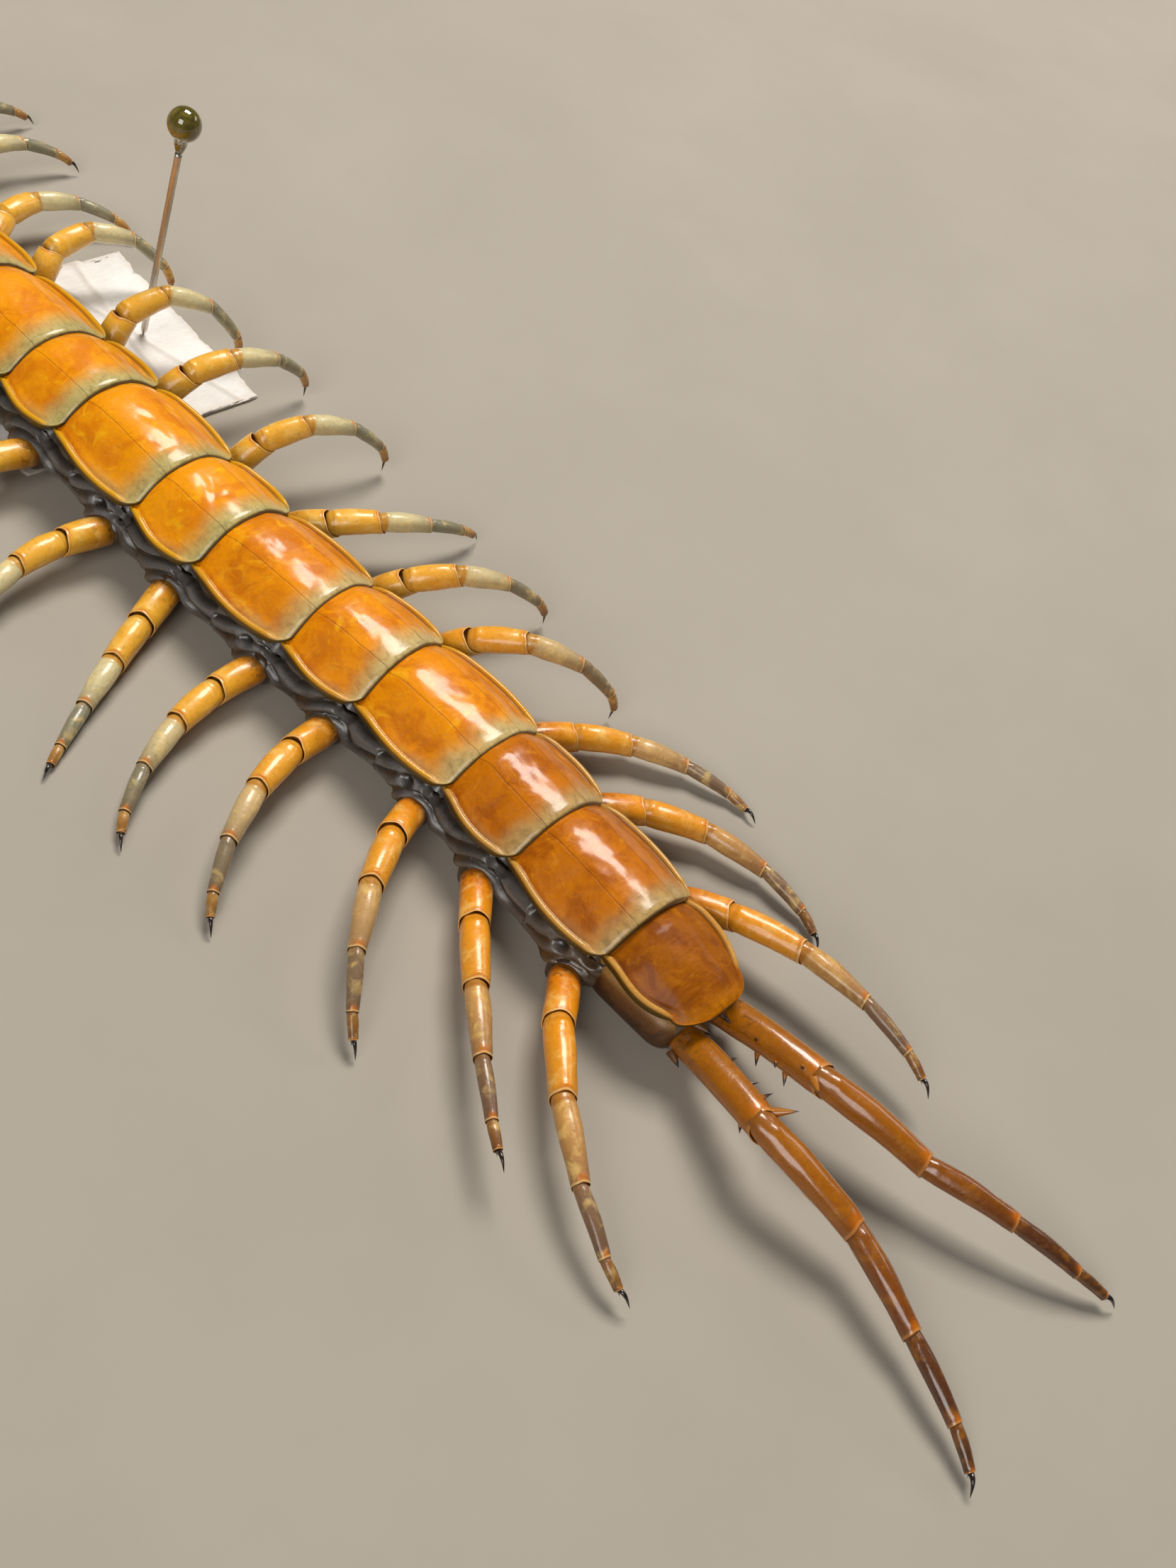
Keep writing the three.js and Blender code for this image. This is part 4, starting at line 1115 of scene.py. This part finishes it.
FANG_BASE_ROWS = [
    (0.3, 3.8, 2.7, 0.4), (2.2, 4.1, 2.7, 0.3), (3.4, 3.3, 2.7, 0.3),
    (6.6, 2.2, 2.5, 0.6), (7.4, 1.5, 2.2, 1.2),
]
ANTENNA_ARTICLES = 17
ANTENNA_ROOT = (1.75, 10.6, 5.3)
ANTENNA_RADII = (0.75, 0.28)
ANTENNA_LENGTHS = (2.5, 1.7)
ANTENNA_TURN = (22, 62)
ANTENNA_LIFT = (10, -21)
ANTENNA_PROFILE = [
    (0.02, 0.7), (0.06, 0.84), (0.2, 0.93), (0.5, 0.99),
    (0.82, 1.04), (0.94, 1.03), (0.985, 0.95), (0.995, 0.8),
]
PALP = [(4.6, 2.7, 3.2), (6.4, 3.05, 3.15), (8.2, 2.75, 3.2), (9.6, 2.05, 3.35), (10.4, 1.15, 3.5)]
PALP_RADII = [0.6, 0.62, 0.55, 0.46, 0.3]
PALP_STEPS = 60
JAW = [(8.2, 2.0, 4.3), (9.6, 1.3, 4.25), (10.15, 0.45, 4.25)]
JAW_STEPS = 24
TEETH = 5
FANG_STEPS = 110


def head_point(ahead, right, height):
    return body_point(HEAD_STATION + np.asarray(ahead, float), right, height)


def head_half(ahead):
    """Half width of the head at a place ahead of its rear edge."""
    wide = 5.15 * np.sqrt(np.clip(1 - (np.abs(ahead - 2.6) / 8.2) ** 2.6, 0, 1))
    behind = 0.35 * np.clip(1 - ahead / 2.6, 0, 1) ** 2
    return wide - behind - 0.7 * (1 - arc(1 - ahead / 0.9))


def head_path(places, side, count):
    """Curve through places given as ahead, outward and height."""
    return smooth_path([head_point(ahead, side * out, height) for ahead, out, height in places], count)


def antenna_root(side):
    return head_point(ANTENNA_ROOT[1], side * ANTENNA_ROOT[0], ANTENNA_ROOT[2])


def head_top(ahead, share):
    crown = rounded(HEAD_CROWN, ahead, 0.5)
    return HEAD_EDGE + (crown - HEAD_EDGE) * np.clip(1 - np.abs(share) ** 2.3, 0, 1) ** 0.6


def rounded_section(half, top, under, turn, power=0.8):
    """Flattened round section, as places to the right and heights."""
    middle = mix(under, top, 0.45)
    across = np.sign(np.sin(turn)) * np.abs(np.sin(turn)) ** power
    up = np.sign(np.cos(turn)) * np.abs(np.cos(turn)) ** (power + 0.1)
    return half * across, middle + np.where(up > 0, top - middle, middle - under) * up


def build_head_plate():
    plate = Shape(**SHELL_VALUES)
    v = eased(HEAD_ROWS)
    ahead = v * (HEAD_LENGTH - 0.1)
    u = np.sin(np.linspace(-1, 1, 101) * math.pi / 2)
    half = head_half(ahead)
    flat = np.stack(np.broadcast_arrays(ahead, u * half, 0.0), axis=-1)
    edge = half * (1 - np.abs(u))
    lumps = 0.035 * layered(flat, (2.2, 1.6, 1), 900, 3) * smooth(edge, 0.3, 1.2)
    furrow = -0.1 * hill(u * half, 0, 0.22) * smooth(ahead, 5.6, 8.6)
    margin = 0.06 * hill(edge, 0.14, 0.12) - 0.05 * hill(edge, 0.42, 0.12)
    top = head_top(ahead, u) + lumps + furrow + margin
    inner = u[::-3]
    below = head_top(ahead, inner * 0.97) - HEAD_SHELL_THICKNESS
    points = np.concatenate([
        head_point(ahead, u * half, top), head_point(ahead, inner * half * 0.965, below),
    ], axis=1)
    blank = np.zeros((len(v), len(inner)))
    seam = np.where(ahead > 6.4, np.abs(u * half), FAR)
    plate.grid(points, off=np.concatenate([seam, blank + FAR], axis=1),
               dark=np.concatenate([0.4 * hill(edge, 0.45, 0.12), blank], axis=1),
               lip=np.concatenate([0.5 * (1 - smooth(edge, 0.1, 0.3)), blank], axis=1))
    make_piece("head_plate", plate, HEAD_SHELL, ["head"])


def build_head_capsule():
    """Underside and sides of the head, with the sockets of the antennae."""
    capsule = Shape(**SHELL_VALUES)
    ahead = np.linspace(0.15, HEAD_LENGTH - 0.15, HEAD_ROWS)[:, None]
    under = rounded(HEAD_UNDER, ahead, 0.4)
    top = head_top(ahead, 0) - 0.4
    right, height = rounded_section(head_half(ahead) - 0.22, top, under, turns(HEAD_SIDES))
    height = np.minimum(height, head_top(ahead, right / head_half(ahead)) - 0.12)
    surface = head_point(ahead, right, height)
    capsule.grid(surface + 0.04 * layered(surface, 1.1, 910, 3)[..., None] * [1, 1, 0.3],
                 dark=(0.5 * hill(ahead, 9.2, 0.1)) * (height < 5.2))
    for side in (-1, 1):
        direction = leg_direction(side, HEAD_STATION, 90 - ANTENNA_TURN[0], ANTENNA_LIFT[0])
        t = np.linspace(-2.4, -0.16, 20)
        radii = mix(1.0, 0.86, smooth(t, -2.4, -0.3)) * arc((t + 0.3) / 0.17 * 0.6)
        capsule.grid(tube(antenna_root(side) + direction * t[:, None], radii, 28),
                     lip=0.6 * hill(t, -0.3, 0.12)[:, None], dark=0.6 * hill(t, -0.7, 0.08)[:, None])
    make_piece("head_capsule", capsule, HEAD_SHELL, ["head"])


def build_ocelli():
    eyes = Shape()
    turn = turns(HEAD_SIDES)[::4]
    circle = np.stack([np.cos(turn), np.sin(turn), 0 * turn], axis=-1)
    for side in (-1, 1):
        for place, level in OCELLI:
            rise = (level - HEAD_EDGE) / (float(head_top(place, 0)) - HEAD_EDGE)
            share = (1 - rise ** (1 / 0.6)) ** (1 / 2.3)
            centre = head_point(place, side * share * float(head_half(place)), level)
            around = np.linspace(-math.pi / 2 + 0.05, math.pi / 2 - 0.05, 14)
            path = centre + UP * (OCELLUS_RADIUS * 0.92 * np.sin(around))[:, None]
            eyes.grid(path[:, None] + circle * (OCELLUS_RADIUS * np.cos(around))[:, None, None])
    make_piece("ocelli", eyes, EYE, ["head"])


def build_mouth():
    """Parts under the mouth: two maxillae with jointed palps, and the toothed tips of the jaws."""
    mouth = Shape(**SHELL_VALUES)
    turn = turns(56)
    for side in (-1, 1):
        ahead = np.linspace(3.4, 9.7, 50)[:, None]
        half = 1.28 * arc((ahead - 8.4) / 1.35) * mix(0.8, 1, smooth(ahead, 3.4, 4.6)) + 0.05
        right, height = rounded_section(half, 4.15, 2.85 + 0.25 * smooth(ahead, 8, 9.7), turn)
        mouth.grid(head_point(ahead, side * (1.36 + right), height), lip=0.5 * hill(ahead, 9.3, 0.25),
                   dark=0.7 * hill(ahead, 6.3, 0.07))
        path = head_path(PALP, side, PALP_STEPS)
        t = np.linspace(0, len(PALP) - 1, PALP_STEPS)
        groove = hill(t, 1.5, 0.05) + hill(t, 2.55, 0.05)
        radii = np.interp(t, range(len(PALP)), PALP_RADII) * (1 - 0.16 * groove) * arc((t - 3.7) / 0.31)
        mouth.grid(tube(path, np.maximum(radii, 0.03), 22), lip=0.6 * hill(t, 1.42, 0.05)[:, None],
                   dark=0.8 * groove[:, None])
        cone(mouth, path[-4], path[-1] + (path[-1] - path[-8]) * 0.9, 0.11, 0.1)
        jaw_radii = 0.34 * arc(np.linspace(0, 0.94, JAW_STEPS) ** 3)
        mouth.grid(tube(head_path(JAW, side, JAW_STEPS), jaw_radii, 16, 0.6), dark=0.3,
                   point=smooth(np.linspace(0, 1, JAW_STEPS), 0.6, 0.75)[:, None])
    make_piece("mouth_parts", mouth, HEAD_SHELL, ["head"])


def fang_places(side):
    return [head_point(ahead, side * out, height) for out, ahead, height in FANG_PATH]


def build_forcipule_base():
    """Plate under the head with its two rows of teeth, and the ring articles of the claws."""
    base = Shape(**SHELL_VALUES)
    turn = turns(80)
    ahead = np.linspace(0.3, 7.35, 80)[:, None]
    half, top, under = (rounded([(row[0], row[i]) for row in FANG_BASE_ROWS], ahead, 0.7) for i in (1, 2, 3))
    ends = arc(1 - (ahead - 0.3) / 0.5) * 0.15 + 0.85
    right, height = rounded_section(half * ends, top, under, turn, 0.7)
    notch = 0.16 * hill(right, 0, 0.16) * smooth(ahead, 5.2, 7.2) * (height < 1.7)
    base.grid(head_point(ahead, right, height + notch), lip=0.4 * hill(ahead, 7.2, 0.2),
              dark=0.3 * smooth(ahead, 6.6, 7.3), off=np.where((height < 1.6) & (ahead > 1.0), right, FAR))
    for side in (-1, 1):
        v = np.linspace(0, 1, 24)[:, None]
        half = 0.62 * arc(np.clip(v - 0.75, 0, 1) / 0.27) + 0.02
        right, height = rounded_section(half, 2.05, 1.2, turn[::2])
        base.grid(head_point(6.7 + v * 1.15, side * (0.72 + right), height), dark=0.7 * v)
        for i in range(TEETH):
            foot = head_point(7.55 - 0.05 * abs(i - 1.5), side * (0.22 + 0.25 * i), 1.62)
            tip = head_point(8.15 - 0.1 * abs(i - 1), side * (0.24 + 0.26 * i), 1.66)
            cone(base, foot, tip, 0.17, 0.0)
        path = fang_places(side)
        t = np.linspace(-2.5, -0.15, 16)
        radii = 1.12 * mix(0.8, 1, smooth(t, -2.5, -0.8)) * arc((t + 0.3) / 0.25)
        base.grid(tube(path[0] + unit(path[1] - path[0]) * t[:, None], radii, 32),
                  lip=0.5 * hill(t, -0.3, 0.1)[:, None])
    make_piece("poison_claw_base", base, HEAD_SHELL, ["forcipule_base"])


def build_poison_claws():
    for side, letter in SIDES:
        claw = Shape(**SHELL_VALUES)
        path = fang_places(side)
        index = np.linspace(0, len(FANG_RADII) - 1, FANG_STEPS)
        line = smooth_path(path, FANG_STEPS)
        grooves = sum(hill(index, joint, 0.03) for joint in FANG_JOINTS)
        swell = sum(hill(index, joint - 0.1, 0.07) for joint in FANG_JOINTS)
        radii = rounded(list(enumerate(FANG_RADII)), index, 0.22) * (1 - 0.13 * grooves + 0.05 * swell)
        radii = np.maximum(radii * (0.86 + 0.14 * smooth(index, 0, 0.4)) * arc((index - 4.6) / 0.42), 0.03)
        rings = tube(line, radii, 34, 0.92)
        claw.grid(rings, dark=(0.75 * grooves + 0.3 * smooth(index, 2.9, 3.6))[:, None],
                  lip=0.5 * swell[:, None], point=smooth(index, 3.75, 4.35)[:, None])
        tooth = int(FANG_STEPS * 1.5 / 5)
        heading = heading_at(HEAD_STATION)
        inward = -side * unit(np.array([math.cos(heading), -math.sin(heading), 0]))
        ahead = unit(path[1] - path[0])
        foot = line[tooth] + inward * radii[tooth] * 0.6
        cone(claw, foot, foot + (inward * 0.75 + ahead * 0.5) * 1.25, 0.46, 0.5)
        make_piece(f"poison_claw_{letter}", claw, HEAD_SHELL, [f"forcipule_{letter}"])


def build_antennae():
    for side, letter in SIDES:
        shape = Shape()
        at = antenna_root(side)
        places, radii, runs, lips = [], [], [], []
        for i in range(ANTENNA_ARTICLES):
            share = i / (ANTENNA_ARTICLES - 1)
            turn, lift = mix(*ANTENNA_TURN, share), mix(*ANTENNA_LIFT, share ** 0.6)
            direction = leg_direction(side, HEAD_STATION, 90 - turn, lift)
            length = mix(*ANTENNA_LENGTHS, share)
            for along, size in ANTENNA_PROFILE:
                places.append(at + direction * along * length)
                radii.append(size * mix(*ANTENNA_RADII, share))
                runs.append((i + along) / ANTENNA_ARTICLES)
                lips.append(0.5 if 0.9 < along < 0.99 else 0)
            at = at + direction * length
        radii[-2:] = [ANTENNA_RADII[1] * 0.6, ANTENNA_RADII[1] * 0.2]
        shape.grid(tube(places, radii, 24), run=np.array(runs)[:, None], lip=np.array(lips)[:, None])
        make_piece(f"antenna_{letter}_skin", shape, ANTENNA, [f"antenna_{letter}"])


# Mount

PIN_FOOT = (14.2, -23.8)
PIN_LEAN = (0.3, -3.1)
PIN_HEIGHT = 20.6
PIN_RADIUS = 0.3
BEAD_RADIUS = 1.4
BEAD_NECK = 1.5
PAPER_THICKNESS = 0.45
PAPER_LEFT, PAPER_RIGHT, PAPER_FRONT, PAPER_REAR = -4.5, 18.8, -12.8, -35.2
PAPER_LOWEST = 0.02


def build_pin():
    """Wire and glass head, turned about the line that the pin leans along."""
    foot = np.array([PIN_FOOT[0], PIN_FOOT[1], 0.0])
    top = foot + [PIN_LEAN[0], PIN_LEAN[1], PIN_HEIGHT]
    lean = unit(top - foot)
    length = np.linalg.norm(top - foot)
    t = np.linspace(0, 1, 60)
    side = np.array([1.0, 0, 0])
    up = np.cross(lean, side)
    side = np.cross(up, lean)
    angle = turns(24)
    around = side * np.cos(angle)[:, None] + unit(up) * np.sin(angle)[:, None]

    def lathe(distances, radii):
        return foot + lean * np.asarray(distances)[:, None, None] + around * np.asarray(radii)[:, None, None]

    shaft = Shape()
    radii = PIN_RADIUS * np.clip(t / 0.04, 0.25, 1)
    shaft.grid(lathe(0.1 + t * (length - 0.1), radii))
    make_piece("pin_wire", shaft, STEEL, ["pin_shaft"])
    bead = Shape()
    angles = np.linspace(-0.36, 0.5, 30) * math.pi
    distance = np.concatenate([[0.3, 0.4, 0.7, 1.0], BEAD_NECK + BEAD_RADIUS * (1 + np.sin(angles))])
    round_radii = np.concatenate([[0.34, 0.4, 0.46, 0.55], np.maximum(BEAD_RADIUS * np.cos(angles), 0.01)])
    bead.grid(lathe(length + distance, round_radii))
    make_piece("pin_head", bead, BEAD, ["pin_bead"])


def build_paper():
    """Slip with a ragged edge, creased where it lies free of the body."""
    slip = Shape()
    x, y = np.meshgrid(np.linspace(PAPER_LEFT, PAPER_RIGHT, 120), np.linspace(PAPER_REAR, PAPER_FRONT, 110))
    flat = np.stack([x, y, x * 0], axis=-1)
    ragged = 0.25 * layered(flat, 1.1, 3)
    free = smooth(x, 6.5, 9.0)
    crease = hill(x - 0.12 * y, 15.6, 0.3) + hill(x + 0.3 * y, 6.4, 0.25)
    height = PAPER_THICKNESS - 0.16 + free * (0.1 * layered(flat, 3.2, 8) + 0.16 * crease)
    low = PAPER_LOWEST + 0 * x
    edge = np.minimum(
        np.minimum(x - PAPER_LEFT, PAPER_RIGHT - x), np.minimum(y - PAPER_REAR, PAPER_FRONT - y))
    x = x + ragged * (edge < 0.3)
    y = y + ragged * (edge < 0.3)
    upper = np.stack([x, y, np.clip(height, 0.1, PAPER_THICKNESS + 0.3)], axis=-1)
    lower = np.stack([x, y, low], axis=-1)[:, ::-1]
    # Darker towards the edges as wear, and along the creases as painted shade.
    worn = np.clip(hill(edge, 0, 0.5) * 0.4 + 0.3 * crease, 0, 1)
    slip.grid(np.concatenate([upper, lower], axis=1), worn=np.concatenate([worn, worn[:, ::-1]], axis=1))
    make_piece("paper_slip", slip, PAPER, ["paper"])


# Stage

FLOOR_REACH_METRES = 3.0
LIGHT_AIM = (4, -60, 5)
# Each light's name, direction, distance and size in metres, power and colour
LIGHTS = [
    ("key", (0.43, 0.28, 0.86), 0.7, (0.32, 0.24), 4.9, (1, 0.97, 0.92)),
    ("fill", (-0.8, -0.3, 0.7), 1.0, (0.5, 0.5), 4.5, (1, 0.98, 0.95)),
    ("back", (0.9, -0.2, 0.5), 1.0, (0.4, 0.2), 0.8, (1, 0.96, 0.9)),
]
WORLD_COLOUR = (0.78, 0.78, 0.76, 1)
WORLD_STRENGTH = 0.1


def build_camera():
    data = bpy.data.cameras.new("camera")
    data.lens = SENSOR * FOCAL_PIXELS / PHOTO_HEIGHT
    data.sensor_width = SENSOR
    data.clip_start, data.clip_end = CLIP_METRES
    camera = link("camera", data)
    place = Vector(CAMERA_PLACE) * MM
    aim = Vector(CAMERA_AIM) * MM
    rotation = (aim - place).to_track_quat("-Z", "Y").to_matrix()
    roll = Matrix.Rotation(math.radians(CAMERA_ROLL), 3, "Z")
    camera.matrix_world = Matrix.Translation(place) @ (rotation @ roll).to_4x4()
    bpy.context.scene.camera = camera


def build_floor():
    mesh = bpy.data.meshes.new("floor")
    reach = FLOOR_REACH_METRES
    corners = [(x * reach, y * reach, 0) for x, y in ((-1, -1), (1, -1), (1, 1), (-1, 1))]
    mesh.from_pydata(corners, [], [(0, 1, 2, 3)])
    floor = link("floor", mesh)
    paint = Paint("floor", Roughness=0.85, Specular_IOR_Level=0.2)
    grain = paint.grain(0.03, 4, 0.6)
    mesh.materials.append(paint.finish(paint.ramp(grain, (0.3, (166, 158, 146)), (0.7, (172, 164, 152)))))


def build_lights():
    """Three area lights round the animal and an even grey world."""
    for name, direction, distance, size, power, colour in LIGHTS:
        data = bpy.data.lights.new(name, "AREA")
        data.shape = "RECTANGLE"
        data.size, data.size_y = size
        data.energy = power
        data.color = colour
        lamp = link(name, data)
        direction = Vector(direction).normalized()
        lamp.location = Vector(LIGHT_AIM) * MM + direction * distance
        lamp.rotation_euler = direction.to_track_quat("Z", "Y").to_euler()
    scene = bpy.context.scene
    scene.view_settings.view_transform = "Standard"
    scene.world = bpy.data.worlds.new("world")
    scene.world.use_nodes = True
    background = scene.world.node_tree.nodes["Background"]
    background.inputs["Color"].default_value = WORLD_COLOUR
    background.inputs["Strength"].default_value = WORLD_STRENGTH


build_camera()
build_floor()
build_lights()
for k in range(1, LAST + 1):
    build_tergite(k)
build_skin()
build_sternites()
build_coxopleura()
build_legs()
build_last_legs()
build_head_plate()
build_head_capsule()
build_ocelli()
build_mouth()
build_poison_claws()
build_forcipule_base()
build_antennae()
build_pin()
build_paper()
